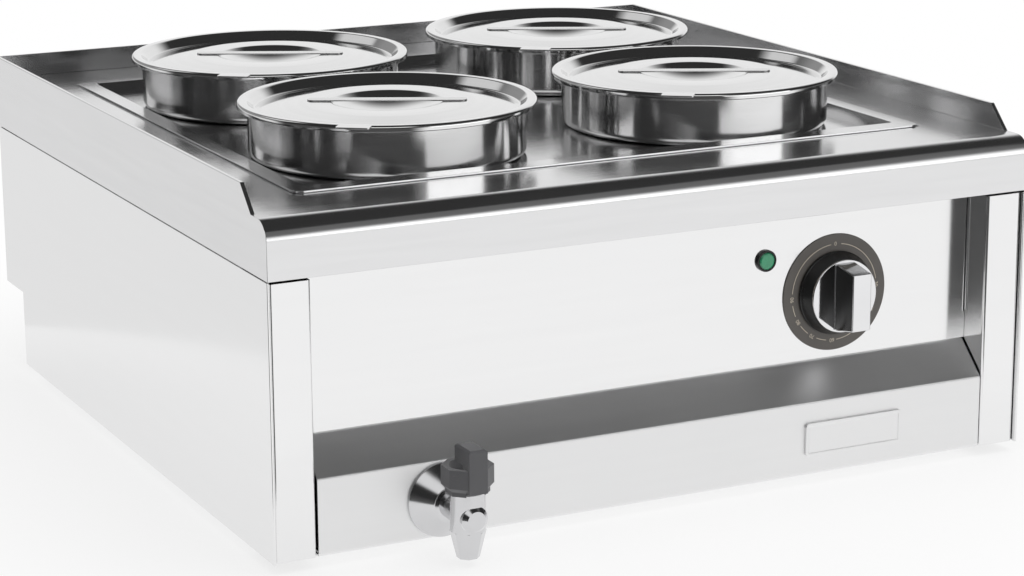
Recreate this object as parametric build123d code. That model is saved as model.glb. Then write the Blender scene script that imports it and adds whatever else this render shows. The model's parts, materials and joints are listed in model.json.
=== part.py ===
from build123d import *
import os
from math import hypot, radians, tan

# Counter-top bain marie: a folded steel body with a lift-out plate, four round pots with lids,
# a heated water tank, a thermostat knob on a recessed panel and a lever drain tap.
# Millimetres. X runs right, Y runs back and Z runs up. Pieces are laid out from the middle of the
# width, the front face of the apron and the surface that the feet stand on, and are written out
# about the middle of the whole footprint.

# Body
BODY_HEIGHT = 234.0
SHEET = 1.5
FOLD_INSIDE = 1.0

# Worktop
SIDE_DECK = 48.0
FRONT_DECK = 70.0
REAR_DECK = 61.0
SKIRT_DEPTH = 40.0
NOSE_INSIDE = 13.5
UPSTAND_HEIGHT = 18.0
UPSTAND_SETBACK = 11.5
LEDGE_WIDTH = 11.0

# Side panels
SIDE_SETBACK = 1.0
SEAM_GAP = 0.6
DOUBLER_LAP = 20.0
REAR_RETURN = 15.0
NOTCH_DEPTH = 45.0
NOTCH_HEIGHT = 61.5

# Front posts, rail and control panel
POST_WIDTH = 32.0
POST_DEPTH = 45.0
POST_SETBACK = 4.0
CORNER_GAP = 2.0
POST_TOP_GAP = 2.5
RAIL_GAP = 2.0
RAIL_HEIGHT = 54.5
FOOT_FOLD = 26.0
RAIL_FLANGE = 20.0
RECESS_DEPTH = 24.0
LEDGE_RISE = 23.0
PANEL_RETURN = 12.0
PANEL_PLAY = 0.2

# Base and feet
BASE_FLANGE = 15.0
FOOT_HEIGHT = 8.0
FOOT_INSET = 50.0
FOOT_TOP_RADIUS = 16.0
FOOT_TIP_RADIUS = 14.0
FOOT_RECESS_RADIUS = 6.0
FOOT_RECESS_DEPTH = 5.0
FOOT_SCREW_RADIUS = 2.4
FOOT_SCREW_HEAD = 3.0
FOOT_SCREW_TAIL = 6.0

# Lift-out plate
PLATE_SHEET = 1.5
PLATE_CORNER = 8.0
PLATE_RIM = 13.5
PLATE_PROUD = 1.5
PLATE_STEP = 7.5
PLATE_GAP = 2.0
TRAY_MARGIN_X = 9.5
TRAY_MARGIN_Y = 5.75
TRAY_SHIFT = 3.0
TRAY_CORNER = 2.0

# Pots
POT_PITCH_X = 256.0
POT_PITCH_Y = 228.5
POT_BOWL_RADIUS = 101.5
POT_BODY_RADIUS = 88.0
POT_SHEET = 1.2
POT_RISE = 40.0
POT_CLEARANCE = 10.0
POT_SHOULDER = 8.0
POT_RIM = 5.0
POT_FLARE = 3.5
HOLE_PLAY = 2.5

# Lids and their strap handles
LID_SHEET = 1.2
LID_OVERHANG = 2.5
LID_LIP = 3.5
LID_PLAY = 1.2
LID_CHANNEL = 6.5
LID_CHANNEL_WIDTH = 4.0
LID_WALL_RUN = 5.5
LID_LAND = 21.0
LID_LAND_DROP = 2.0
WELL_RADIUS = 41.0
WELL_FLOOR_RADIUS = 32.0
WELL_DEPTH = 13.0
STRAP_LENGTH = 116.0
STRAP_WIDTH = 15.0
STRAP_SHEET = 1.5
STRAP_CORNER = 5.0
STRAP_ANGLE = -27.0

# Water tank and its drain pipe
TANK_FLOOR_HEIGHT = 50.5
TANK_CORNER = 12.0
TANK_FLANGE = 12.0
DRAIN_Y = 150.0
PIPE_WALL = 2.0
PIPE_PLAY = 0.1
SPIGOT_LENGTH = 9.0

# Heating element
ELEMENT_RADIUS = 4.2
ELEMENT_SPREAD = 220.0
ELEMENT_LIFT = 14.0
ELEMENT_BEND = 60.0
ELEMENT_REAR_GAP = 60.0
ELEMENT_TAIL = 24.0
GLAND_FLATS = 19.0
GLAND_LENGTH = 8.0
GLAND_BUSH_RADIUS = 6.8
REST_LENGTH = 16.0
REST_WIDTH = 12.0

# Thermostat
KNOB_FROM_POST = 116.5
KNOB_HEIGHT = 128.0
THERMOSTAT_WIDTH = 40.0
THERMOSTAT_TALL = 50.0
THERMOSTAT_DEEP = 32.0
SHAFT_RADIUS = 3.0
SHAFT_PLAY = 0.05
SHAFT_IN = 15.0
BUSH_RADIUS = 5.0
BUSH_PLAY = 0.5
DIAL_RADIUS = 43.5
DIAL_SHEET = 1.0
SCREW_PLAY = 0.1
CAPILLARY_RADIUS = 1.2
CAPILLARY_DROP = 16.0
BULB_RADIUS = 3.2
BULB_GAP = 4.0
BULB_SEAL_RADIUS = 6.0
BULB_SEAL = 4.0

# Knob
KNOB_BASE_RADIUS = 31.0
KNOB_FACE_RADIUS = 27.0
KNOB_SKIRT = 12.0
KNOB_GAP = 0.5
CAP_DISC = 1.5
GRIP_WIDTH = 15.5
GRIP_LENGTH = 50.0
GRIP_FACE_LENGTH = 42.0
GRIP_PROUD = 22.5
GRIP_EDGE = 1.5

# Indicator lamp
LAMP_FROM_KNOB = 58.5
LAMP_HEIGHT = 158.0
LAMP_RADIUS = 6.4
LAMP_BEZEL = 2.3
LAMP_BEZEL_PROUD = 2.5
LAMP_LENS_PROUD = 3.4
LAMP_LENS_EDGE = 1.2
LAMP_DEEP = 26.0
LAMP_NUT_FLATS = 17.0
LAMP_NUT = 4.0
LAMP_PLAY = 0.1

# Bare plate on the rail
BADGE_FROM_POST = 113.0
BADGE_HEIGHT = 27.0
BADGE_LENGTH = 82.0
BADGE_TALL = 25.0
BADGE_PROUD = 2.0
BADGE_CORNER = 3.0

# Overheat cut-out, terminal block and mains gland
CUTOUT_X = 0.0
CUTOUT_LIFT = 60.0
CUTOUT_RADIUS = 12.5
CUTOUT_DISC = 6.0
CUTOUT_NECK_RADIUS = 8.0
CUTOUT_NECK = 9.0
BLOCK_FROM_REAR = 70.0
BLOCK_LENGTH = 54.0
BLOCK_DEEP = 22.0
BLOCK_TALL = 20.0
BLOCK_WELL_RADIUS = 3.0
BLOCK_WELLS = 3
INLET_FROM_SIDE = 100.0
INLET_HEIGHT = 32.0
INLET_BORE_RADIUS = 5.25
INLET_THREAD_RADIUS = 8.0
INLET_THREAD = 10.0
INLET_FLATS = 22.0
INLET_FLANGE = 5.0
INLET_DOME_RADIUS = 9.5
INLET_DOME = 12.0
INLET_NUT = 4.0

# Drain tap
TAP_FROM_POST = 93.0
TAP_HEIGHT = 27.0
TAP_REACH = 39.0
SHANK_RADIUS = 8.3
SHANK_TAIL = 36.0
SHANK_PLAY = 0.2
WATERWAY_RADIUS = 5.0
NECK_RADIUS = 9.5
BARREL_RADIUS = 12.0
BARREL_RISE = 17.0
CHAMBER_RADIUS = 9.6
SEAT_STEP = 1.5
BOSS_RADIUS = 9.5
BOSS_REACH = 14.0
BOSS_EDGE = 3.0
SPOUT_START = 10.0
SPOUT_DROP = 29.0
SPOUT_FLATS = 23.0
SPOUT_END_FLATS = 14.5
ESCUTCHEON_RADIUS = 26.5
ESCUTCHEON_NOSE_RADIUS = 13.0
ESCUTCHEON_EDGE = 2.0
ESCUTCHEON_PROUD = 14.0
WASHER_RADIUS = 14.0
WASHER_THICK = 2.0
BACK_NUT_FLATS = 27.0
BACK_NUT_THICK = 7.0

# Tap bonnet, lever, stem and cup
BONNET_FLATS = 33.0
COLLAR_FLATS = 28.0
COLLAR_HEIGHT = 3.0
COLLAR_FLARE = 3.0
BONNET_HEIGHT = 19.0
BONNET_CAVITY_RADIUS = 13.0
BONNET_CAVITY = 8.5
BONNET_WEB = 3.5
SPIGOT_DROP = 8.0
SPIGOT_PLAY = 0.1
SPRING_BORE_RADIUS = 6.5
LEVER_WIDTH = 13.4
LEVER_PLAY = 0.35
LEVER_PROUD = 1.0
LEVER_STRIP = 4.0
LEVER_HANG = 11.5
LEVER_BLOCK_LIFT = 7.0
LEVER_BLOCK_TALL = 12.0
LEVER_BLOCK_BACK = 5.5
LEVER_EDGE = 1.5
PIVOT_FORWARD = 10.0
PIVOT_RISE = 31.0
PIVOT_RADIUS = 1.5
PIVOT_PLAY = 0.05
PIVOT_BOSS_RADIUS = 3.2
RAIL_TOP = 12.0
FORK_ROOM = 5.2
FORK_WALL = 1.1
FORK_START = 6.0
STEM_RADIUS = 2.2
STEM_PLAY = 0.4
STEM_PIN_RADIUS = 1.5
STEM_PIN_PLAY = 0.2
STEM_TOP = 16.4
CUP_RADIUS = 7.8
CUP_TOP_RADIUS = 5.8
CUP_HEIGHT = 12.0
CUP_STEM_LAP = 5.0
SPRING_WIRE = 1.0

# Levels
body_z = FOOT_HEIGHT
worktop_z = body_z + BODY_HEIGHT
deck_under_z = worktop_z - SHEET
upstand_z = worktop_z + UPSTAND_HEIGHT
seam_z = worktop_z - SKIRT_DEPTH
base_z = body_z + SHEET
plate_under_z = worktop_z - PLATE_SHEET
plate_top_z = worktop_z + PLATE_PROUD
plate_floor_z = plate_top_z - PLATE_STEP
rim_z = plate_floor_z + POT_RISE
tank_floor_z = body_z + TANK_FLOOR_HEIGHT
tank_top_z = plate_under_z - SHEET
element_z = tank_floor_z + SHEET + ELEMENT_LIFT
pot_bottom_z = element_z + ELEMENT_RADIUS + POT_CLEARANCE
knob_z = body_z + KNOB_HEIGHT
lamp_z = body_z + LAMP_HEIGHT
tap_z = body_z + TAP_HEIGHT

# Places across and along the body
pot_flat_radius = POT_BOWL_RADIUS - POT_SHOULDER
plate_width = POT_PITCH_X + 2 * (pot_flat_radius + TRAY_MARGIN_X + PLATE_STEP + PLATE_RIM)
plate_length = POT_PITCH_Y + 2 * (pot_flat_radius + TRAY_MARGIN_Y + PLATE_STEP + PLATE_RIM)
body_width = plate_width + 2 * SIDE_DECK
body_depth = FRONT_DECK + plate_length + REAR_DECK
half_width = body_width / 2
post_x = half_width - POST_WIDTH
knob_x = post_x - KNOB_FROM_POST
lamp_x = knob_x - LAMP_FROM_KNOB
badge_x = post_x - BADGE_FROM_POST
tap_x = TAP_FROM_POST - post_x
inlet_x = half_width - INLET_FROM_SIDE
post_y = POST_SETBACK
post_back_y = post_y + POST_DEPTH
panel_y = post_y + RECESS_DEPTH
panel_back_y = panel_y + SHEET
notch_y = body_depth - NOTCH_DEPTH
rear_y = body_depth - SHEET
slope_foot_y = NOSE_INSIDE + SHEET + UPSTAND_SETBACK
slope_top_y = slope_foot_y + UPSTAND_HEIGHT
plate_mid_y = FRONT_DECK + plate_length / 2
tray_mid_y = plate_mid_y + TRAY_SHIFT
pocket_width = plate_width + 2 * PLATE_GAP
pocket_length = plate_length + 2 * PLATE_GAP
pocket_corner = PLATE_CORNER + PLATE_GAP
tank_width = pocket_width - 2 * LEDGE_WIDTH
tank_length = pocket_length - 2 * LEDGE_WIDTH
tank_front_y = plate_mid_y - tank_length / 2
tank_front_face_y = tank_front_y - SHEET
tank_back_y = plate_mid_y + tank_length / 2
element_back_y = tank_back_y - ELEMENT_REAR_GAP
front_pot_y = tray_mid_y - POT_PITCH_Y / 2
rear_pot_y = tray_mid_y + POT_PITCH_Y / 2
pot_hole_radius = POT_BODY_RADIUS + HOLE_PLAY
pot_rim_radius = POT_BOWL_RADIUS + POT_RIM
lid_radius = pot_rim_radius + LID_OVERHANG
pot_mouth_radius = POT_BOWL_RADIUS - POT_SHEET + POT_FLARE
lid_top_z = rim_z + LID_SHEET
lid_land_z = lid_top_z - LID_LAND_DROP
tap_y = post_y - TAP_REACH
seat_drop = WATERWAY_RADIUS + SEAT_STEP
pivot_y = tap_y - PIVOT_FORWARD
pivot_z = tap_z + PIVOT_RISE
lever_front_y = tap_y - BONNET_FLATS / 2 - LEVER_PROUD
footprint_mid_y = (body_depth + lever_front_y) / 2
pot_places = {
    f"{row}_{side}": (x, y)
    for row, y in (("front", front_pot_y), ("rear", rear_pot_y))
    for side, x in (("left", -POT_PITCH_X / 2), ("right", POT_PITCH_X / 2))
}
foot_places = [
    (x * (half_width - FOOT_INSET), y)
    for x in (-1, 1)
    for y in (post_back_y + FOOT_TOP_RADIUS, notch_y - FOOT_INSET)
]
element_places = [(-ELEMENT_SPREAD / 2, element_z), (ELEMENT_SPREAD / 2, element_z)]


def block(low, high):
    """Box between two opposite corners."""
    size = [top - bottom for bottom, top in zip(low, high)]
    middle = [(top + bottom) / 2 for bottom, top in zip(low, high)]
    return Pos(*middle) * Box(*size)


def sheet_face(points, thickness, inside):
    """Face of a sheet folded along the points, with its thickness to the left of the path."""
    radii = []
    for before, at, after in zip(points, points[1:], points[2:]):
        entering = (at[0] - before[0], at[1] - before[1])
        leaving = (after[0] - at[0], after[1] - at[1])
        turns_left = entering[0] * leaving[1] > entering[1] * leaving[0]
        radii.append(inside + thickness if turns_left else inside)
    line = FilletPolyline(*points, radius=radii)
    return make_face(offset(line, thickness, side=Side.LEFT))


def slab_x(face, middle, thickness):
    """Slab of a face that is drawn in Y and Z, centred on X = middle."""
    return extrude(Plane.YZ.offset(middle) * face, thickness / 2, both=True)


def turned(points):
    """Solid turned about the Z axis from a closed outline of radius and height."""
    return revolve(Plane.XZ * make_face(Polyline(*points, close=True)), axis=Axis.Z)


def tube(radius, bore, low, high):
    """Round tube on the Z axis."""
    return turned([(bore, low), (radius, low), (radius, high), (bore, high)])


def rod(radius, low, high):
    """Round bar on the Z axis."""
    return Pos(0, 0, (low + high) / 2) * Cylinder(radius, high - low)


def prism(flats, sides, low, high):
    """Upright prism with this many sides, one of them facing the front."""
    outline = RegularPolygon(flats / 2, sides, major_radius=False, rotation=90 - 180 / sides)
    return Pos(0, 0, low) * extrude(outline, high - low)


def facing_front(x, y, z):
    """Plane whose own Z axis points out of the front of the body."""
    return Plane((x, y, z), x_dir=(1, 0, 0), z_dir=(0, -1, 0))


def facing_rear(x, y, z):
    """Plane whose own Z axis points out of the back of the body."""
    return Plane((x, y, z), x_dir=(-1, 0, 0), z_dir=(0, 1, 0))


def facing_right(x, y, z):
    """Plane whose own Z axis points to the right."""
    return Plane((x, y, z), x_dir=(0, 1, 0), z_dir=(1, 0, 0))


def plate_prism(width, length, corner, low, high):
    """Upright prism with rounded corners, centred on the lift-out plate."""
    return Pos(0, plate_mid_y, low) * extrude(RectangleRounded(width, length, corner), high - low)


def plate_taper(widen, corner, top, bottom):
    """Tray under the plate's rim, narrowing at 45 degrees from top to bottom."""
    ends = []
    for z, narrow in ((top, 0), (bottom, top - bottom)):
        width = plate_width - 2 * (PLATE_RIM + narrow - widen)
        length = plate_length - 2 * (PLATE_RIM + narrow - widen)
        ends.append(Pos(0, tray_mid_y, z) * RectangleRounded(width, length, corner))
    return loft(ends, ruled=True)


def make_worktop():
    """Deck with a rounded nose, apron, skirts, three upstands and a rebated opening."""
    deck_path = [(body_depth, worktop_z), (0, worktop_z), (0, seam_z)]
    deck = slab_x(sheet_face(deck_path, SHEET, NOSE_INSIDE), 0, body_width)
    slope = [(slope_foot_y, worktop_z), (slope_top_y, upstand_z), (body_depth, upstand_z)]
    skirt_points = [(0, seam_z), (0, worktop_z), *slope, (body_depth, seam_z)]
    skirt_radii = [0, NOSE_INSIDE + SHEET, 0, 0, 0, 0]
    skirt = make_face(FilletPolyline(*skirt_points, radius=skirt_radii, close=True))
    fold_points = [(slope_foot_y, deck_under_z), *slope, (body_depth, deck_under_z)]
    fold = make_face(Polyline(*fold_points, close=True))
    for side in (-1, 1):
        deck += slab_x(skirt, side * (half_width - SHEET / 2), SHEET)
        deck += slab_x(fold, side * (half_width - 1.5 * SHEET), SHEET)
    deck += block((-half_width, rear_y - SHEET, deck_under_z), (half_width, body_depth, upstand_z))
    deck += block((-half_width, rear_y, seam_z), (half_width, body_depth, worktop_z))
    rebate_width = pocket_width + 2 * SHEET
    rebate_length = pocket_length + 2 * SHEET
    deck += plate_prism(rebate_width, rebate_length, pocket_corner + SHEET, tank_top_z, worktop_z)
    deck -= plate_prism(pocket_width, pocket_length, pocket_corner, plate_under_z, upstand_z)
    return deck - plate_prism(tank_width, tank_length, TANK_CORNER, seam_z, worktop_z)


def make_pot_plate():
    """Lift-out plate: a doubled rim in the worktop's rebate and a sunk floor with four round holes."""
    spread = hypot(PLATE_SHEET, PLATE_SHEET) - (plate_top_z - plate_under_z)
    plate = plate_prism(plate_width, plate_length, PLATE_CORNER, plate_under_z, plate_top_z)
    plate += plate_taper(spread, TRAY_CORNER + PLATE_SHEET, plate_under_z, plate_floor_z - PLATE_SHEET)
    plate -= plate_taper(0, TRAY_CORNER, plate_top_z, plate_floor_z)
    for x, y in pot_places.values():
        plate -= Pos(x, y, 0) * rod(pot_hole_radius, pot_bottom_z, worktop_z)
    return plate


def make_pot():
    """Pot with a narrow body through the plate, a shoulder that rests on it and a flared rim."""
    spread = POT_SHEET * tan(radians(22.5))
    bowl_inside = POT_BOWL_RADIUS - POT_SHEET
    body_inside = POT_BODY_RADIUS - POT_SHEET
    shoulder_z = plate_floor_z + POT_SHOULDER
    outside = [
        (0, pot_bottom_z),
        (POT_BODY_RADIUS, pot_bottom_z),
        (POT_BODY_RADIUS, plate_floor_z),
        (pot_flat_radius, plate_floor_z),
        (POT_BOWL_RADIUS, shoulder_z),
        (POT_BOWL_RADIUS, rim_z - POT_FLARE - spread),
        (pot_mouth_radius + spread, rim_z - POT_SHEET),
        (pot_rim_radius, rim_z - POT_SHEET),
    ]
    inside = [
        (pot_rim_radius, rim_z),
        (pot_mouth_radius, rim_z),
        (bowl_inside, rim_z - POT_FLARE),
        (bowl_inside, shoulder_z + POT_SHEET),
        (body_inside, plate_floor_z + POT_SHEET),
        (body_inside, pot_bottom_z + POT_SHEET),
        (0, pot_bottom_z + POT_SHEET),
    ]
    return turned(outside + inside)


def make_lid():
    """Lid with a lipped rim, a channel, a raised middle and a finger well with a flat land round it."""
    spread = LID_SHEET * (hypot(LID_WALL_RUN, LID_CHANNEL) - LID_WALL_RUN) / LID_CHANNEL
    channel_z = lid_top_z - LID_CHANNEL
    well_z = lid_land_z - WELL_DEPTH
    wall_radius = pot_mouth_radius - LID_PLAY - spread
    channel_radius = wall_radius - LID_WALL_RUN
    middle_radius = channel_radius - LID_CHANNEL_WIDTH
    land_radius = WELL_RADIUS + LID_LAND
    upper = [
        (0, well_z),
        (WELL_FLOOR_RADIUS, well_z),
        (WELL_RADIUS, lid_land_z),
        (land_radius, lid_land_z),
        (middle_radius, channel_z),
        (channel_radius, channel_z),
        (wall_radius, lid_top_z),
        (lid_radius, lid_top_z),
        (lid_radius, rim_z - LID_LIP),
    ]
    lower = [
        (pot_rim_radius + LID_OVERHANG / 2, rim_z),
        (wall_radius + spread, rim_z),
        (channel_radius + spread, channel_z - LID_SHEET),
        (middle_radius, channel_z - LID_SHEET),
        (land_radius, lid_land_z - LID_SHEET),
        (WELL_RADIUS + LID_SHEET / 2, lid_land_z - LID_SHEET),
        (WELL_FLOOR_RADIUS + LID_SHEET / 2, well_z - LID_SHEET),
        (0, well_z - LID_SHEET),
    ]
    return turned(upper + lower)


def make_lid_handle():
    """Flat strap that lies on the lid's land across its finger well."""
    strap = extrude(RectangleRounded(STRAP_LENGTH, STRAP_WIDTH, STRAP_CORNER), STRAP_SHEET)
    return Pos(0, 0, lid_land_z) * Rot(0, 0, STRAP_ANGLE) * strap


def make_side_panel():
    """Left side panel with its rear notch, a doubler behind the skirt and a rear return."""
    top_z = seam_z - SEAM_GAP
    notch_z = body_z + NOTCH_HEIGHT
    outline = [
        (SIDE_SETBACK, body_z),
        (notch_y, body_z),
        (notch_y, notch_z),
        (body_depth, notch_z),
        (body_depth, top_z),
        (SIDE_SETBACK, top_z),
    ]
    face = make_face(Polyline(*outline, close=True))
    panel = slab_x(face, SHEET / 2 - half_width, SHEET)
    inner_x = SHEET - half_width
    doubler_low = (inner_x, post_back_y, seam_z - DOUBLER_LAP)
    panel += block(doubler_low, (inner_x + SHEET, notch_y, seam_z + DOUBLER_LAP))
    flange_low = (inner_x, rear_y - 2 * SHEET, notch_z + SHEET + FOLD_INSIDE + PANEL_PLAY)
    return panel + block(flange_low, (inner_x + REAR_RETURN, rear_y - SHEET, top_z))


def make_front_post():
    """Left front post: a folded channel that is open at the back."""
    outer_x = SHEET + CORNER_GAP - half_width
    path = [(outer_x, post_back_y), (outer_x, post_y), (-post_x, post_y), (-post_x, post_back_y)]
    height = seam_z - POST_TOP_GAP - body_z
    return Pos(0, 0, body_z) * extrude(sheet_face(path, SHEET, FOLD_INSIDE), height)


def ledge_height(y):
    """Height of the sloping ledge's upper face at this depth."""
    return body_z + RAIL_HEIGHT + LEDGE_RISE * (y - post_y) / RECESS_DEPTH


def make_control_panel():
    """Recessed panel with folded ends and holes for the thermostat and the lamp."""
    edge_x = post_x - PANEL_PLAY
    return_y = panel_y + PANEL_RETURN
    path = [(-edge_x, return_y), (-edge_x, panel_y), (edge_x, panel_y), (edge_x, return_y)]
    low = ledge_height(panel_back_y) + FOLD_INSIDE / 2
    bend_z = low + RAIL_FLANGE
    face = sheet_face(path, SHEET, FOLD_INSIDE)
    panel = Pos(0, 0, bend_z) * extrude(face, deck_under_z - bend_z)
    panel += block((-edge_x, panel_y, low), (edge_x, panel_back_y, bend_z))
    bush_hole = rod(BUSH_RADIUS + BUSH_PLAY, -2 * SHEET, SHEET)
    panel -= facing_front(knob_x, panel_y, knob_z) * bush_hole
    lamp_hole = rod(LAMP_RADIUS + LAMP_PLAY, -2 * SHEET, SHEET)
    return panel - facing_front(lamp_x, panel_y, lamp_z) * lamp_hole


def make_bottom_rail():
    """Front rail with a sloping ledge on top, a flange behind the panel and a folded foot."""
    flange_y = panel_back_y
    flange_z = ledge_height(flange_y)
    path = [
        (flange_y, flange_z + RAIL_FLANGE),
        (flange_y, flange_z),
        (post_y, body_z + RAIL_HEIGHT),
        (post_y, body_z),
        (post_y + FOOT_FOLD, body_z),
    ]
    rail = slab_x(sheet_face(path, SHEET, FOLD_INSIDE), 0, 2 * (post_x - RAIL_GAP))
    hole = rod(SHANK_RADIUS + SHANK_PLAY, -2 * SHEET, SHEET)
    return rail - facing_front(tap_x, post_y, tap_z) * hole


def make_rear_panel():
    """Rear panel folded round the notch, with a hole for the mains gland."""
    notch_z = body_z + NOTCH_HEIGHT
    path = [
        (notch_y - FOOT_FOLD, body_z),
        (notch_y, body_z),
        (notch_y, notch_z),
        (rear_y, notch_z),
        (rear_y, seam_z + DOUBLER_LAP),
    ]
    panel = slab_x(sheet_face(path, SHEET, FOLD_INSIDE), 0, body_width - 2 * SHEET)
    inlet_hole = rod(INLET_THREAD_RADIUS + SHANK_PLAY, -2 * SHEET, SHEET)
    return panel - facing_rear(inlet_x, notch_y, body_z + INLET_HEIGHT) * inlet_hole


def make_base_plate():
    """Base with folded sides, lying on the feet of the rail and the rear panel."""
    inner_x = half_width - SHEET
    top_z = base_z + SHEET
    back_y = notch_y - SHEET - FOLD_INSIDE - PANEL_PLAY
    plate = block((-inner_x, post_back_y + RAIL_GAP, base_z), (inner_x, back_y, top_z))
    neck_x = post_x - RAIL_GAP
    neck_y = post_y + SHEET + RAIL_GAP
    plate += block((-neck_x, neck_y, base_z), (neck_x, back_y, top_z))
    for low, high in ((-inner_x, SHEET - inner_x), (inner_x - SHEET, inner_x)):
        plate += block((low, post_back_y + RAIL_GAP, base_z), (high, back_y, base_z + BASE_FLANGE))
    for x, y in foot_places:
        plate -= Pos(x, y, 0) * rod(FOOT_SCREW_RADIUS + SCREW_PLAY, 0, body_z + BASE_FLANGE)
    return plate


def make_foot():
    """Rubber foot with a recess for its screw."""
    hole = FOOT_SCREW_RADIUS + SCREW_PLAY
    outline = [
        (FOOT_RECESS_RADIUS, 0),
        (FOOT_TIP_RADIUS, 0),
        (FOOT_TOP_RADIUS, base_z),
        (hole, base_z),
        (hole, FOOT_RECESS_DEPTH),
        (FOOT_RECESS_RADIUS, FOOT_RECESS_DEPTH),
    ]
    return turned(outline)


def make_foot_screw():
    """Pan-head screw up through a foot into the base."""
    head_low = FOOT_RECESS_DEPTH - FOOT_SCREW_HEAD
    head = rod(FOOT_RECESS_RADIUS - SCREW_PLAY, head_low, FOOT_RECESS_DEPTH)
    return head + rod(FOOT_SCREW_RADIUS, head_low, base_z + SHEET + FOOT_SCREW_TAIL)


def make_water_tank():
    """Welded tank hung under the worktop's rebate, with a drain spigot in its floor."""
    shell_width = tank_width + 2 * SHEET
    shell_length = tank_length + 2 * SHEET
    flange_width = tank_width + 2 * TANK_FLANGE
    flange_length = tank_length + 2 * TANK_FLANGE
    tank = plate_prism(shell_width, shell_length, TANK_CORNER + SHEET, tank_floor_z, tank_top_z)
    flange_z = tank_top_z - SHEET
    tank += plate_prism(flange_width, flange_length, TANK_CORNER + TANK_FLANGE, flange_z, tank_top_z)
    inside_z = tank_floor_z + SHEET
    tank -= plate_prism(tank_width, tank_length, TANK_CORNER, inside_z, worktop_z)
    spigot = Pos(tap_x, DRAIN_Y, tank_floor_z)
    tank += spigot * rod(SHANK_RADIUS, -SPIGOT_LENGTH, SHEET)
    tank -= spigot * rod(WATERWAY_RADIUS, -2 * SPIGOT_LENGTH, 2 * SHEET)
    for x, z in element_places:
        hole = rod(GLAND_BUSH_RADIUS + SCREW_PLAY, -2 * SHEET, SHEET)
        tank -= facing_front(x, tank_front_face_y, z) * hole
    bulb_hole = rod(BULB_RADIUS + SCREW_PLAY, -2 * SHEET, SHEET)
    return tank - facing_front(knob_x, tank_front_face_y, knob_z - CAPILLARY_DROP) * bulb_hole


def make_drain_pipe():
    """Mitred pipe from the tank's spigot to the tail of the tap."""
    bore = SHANK_RADIUS + PIPE_PLAY
    radius = bore + PIPE_WALL
    front_y = post_y + SHANK_TAIL - SPIGOT_LENGTH
    corner = Plane((0, DRAIN_Y, tap_z), x_dir=(1, 0, 0), z_dir=(0, 1, 1))
    keep = block((-radius, -2 * DRAIN_Y, -2 * DRAIN_Y), (radius, 2 * DRAIN_Y, 0))
    other = block((-radius, -2 * DRAIN_Y, 0), (radius, 2 * DRAIN_Y, 2 * DRAIN_Y))
    run_plane = Plane((0, front_y, tap_z), x_dir=(1, 0, 0), z_dir=(0, 1, 0))
    legs = []
    for size in (radius, bore):
        run = run_plane * rod(size, 0, DRAIN_Y - front_y + 2 * radius)
        drop = Pos(0, DRAIN_Y, 0) * rod(size, tap_z - 2 * radius, tank_floor_z - PANEL_PLAY)
        legs.append((run & (corner * keep)) + (drop & (corner * other)))
    return Pos(tap_x, 0, 0) * (legs[0] - legs[1])


def make_element():
    """Hairpin heating element with both tails through the tank's front wall."""
    tail_y = tank_front_face_y - ELEMENT_TAIL
    half = ELEMENT_SPREAD / 2
    corners = [(half, tail_y), (half, element_back_y), (-half, element_back_y), (-half, tail_y)]
    points = [(x, y, element_z) for x, y in corners]
    path = FilletPolyline(*points, radius=ELEMENT_BEND)
    start = Plane(points[0], x_dir=(1, 0, 0), z_dir=(0, 1, 0))
    return sweep(start * Circle(ELEMENT_RADIUS), path=path)


def make_element_gland():
    """Gland with a hexagon outside the tank and a bush through its wall."""
    gland = prism(GLAND_FLATS, 6, 0, GLAND_LENGTH)
    gland += rod(GLAND_BUSH_RADIUS, -2 * SHEET, 0)
    return gland - rod(ELEMENT_RADIUS + SCREW_PLAY, -3 * SHEET, 2 * GLAND_LENGTH)


def make_element_rest():
    """Saddle block that carries one leg of the element above the tank's floor."""
    low = tank_floor_z + SHEET
    rest = block((-REST_WIDTH / 2, -REST_LENGTH / 2, low), (REST_WIDTH / 2, REST_LENGTH / 2, element_z))
    groove = rod(ELEMENT_RADIUS + SCREW_PLAY, -REST_LENGTH, REST_LENGTH)
    return rest - facing_rear(0, 0, element_z) * groove


def make_thermostat_body():
    """Thermostat case with a bush through the panel and a bore for its shaft."""
    back = -SHEET - THERMOSTAT_DEEP
    half_wide = THERMOSTAT_WIDTH / 2
    half_tall = THERMOSTAT_TALL / 2
    case = block((-half_wide, -half_tall, back), (half_wide, half_tall, -SHEET))
    case += rod(BUSH_RADIUS, -2 * SHEET, DIAL_SHEET)
    case -= rod(SHAFT_RADIUS + SHAFT_PLAY, -SHEET - SHAFT_IN, 2 * DIAL_SHEET)
    return facing_front(knob_x, panel_y, knob_z) * case


def make_thermostat_shaft():
    """Shaft that turns in the thermostat's bush and carries the knob."""
    inner = PANEL_PLAY - SHEET - SHAFT_IN
    outer = DIAL_SHEET + KNOB_GAP + KNOB_SKIRT - CAP_DISC
    return facing_front(knob_x, panel_y, knob_z) * rod(SHAFT_RADIUS, inner, outer)


def make_dial_plate():
    """Round dial on the panel behind the knob."""
    dial = tube(DIAL_RADIUS, BUSH_RADIUS + SCREW_PLAY, 0, DIAL_SHEET)
    return facing_front(knob_x, panel_y, knob_z) * dial


def make_knob_skirt():
    """Tapered skirt of the knob, bored for the shaft."""
    low = DIAL_SHEET + KNOB_GAP
    high = low + KNOB_SKIRT
    bore = SHAFT_RADIUS + SHAFT_PLAY
    bore_end = high - CAP_DISC + PANEL_PLAY
    outline = [
        (bore, low),
        (KNOB_BASE_RADIUS, low),
        (KNOB_FACE_RADIUS, high),
        (0, high),
        (0, bore_end),
        (bore, bore_end),
    ]
    return facing_front(knob_x, panel_y, knob_z) * turned(outline)


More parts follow.
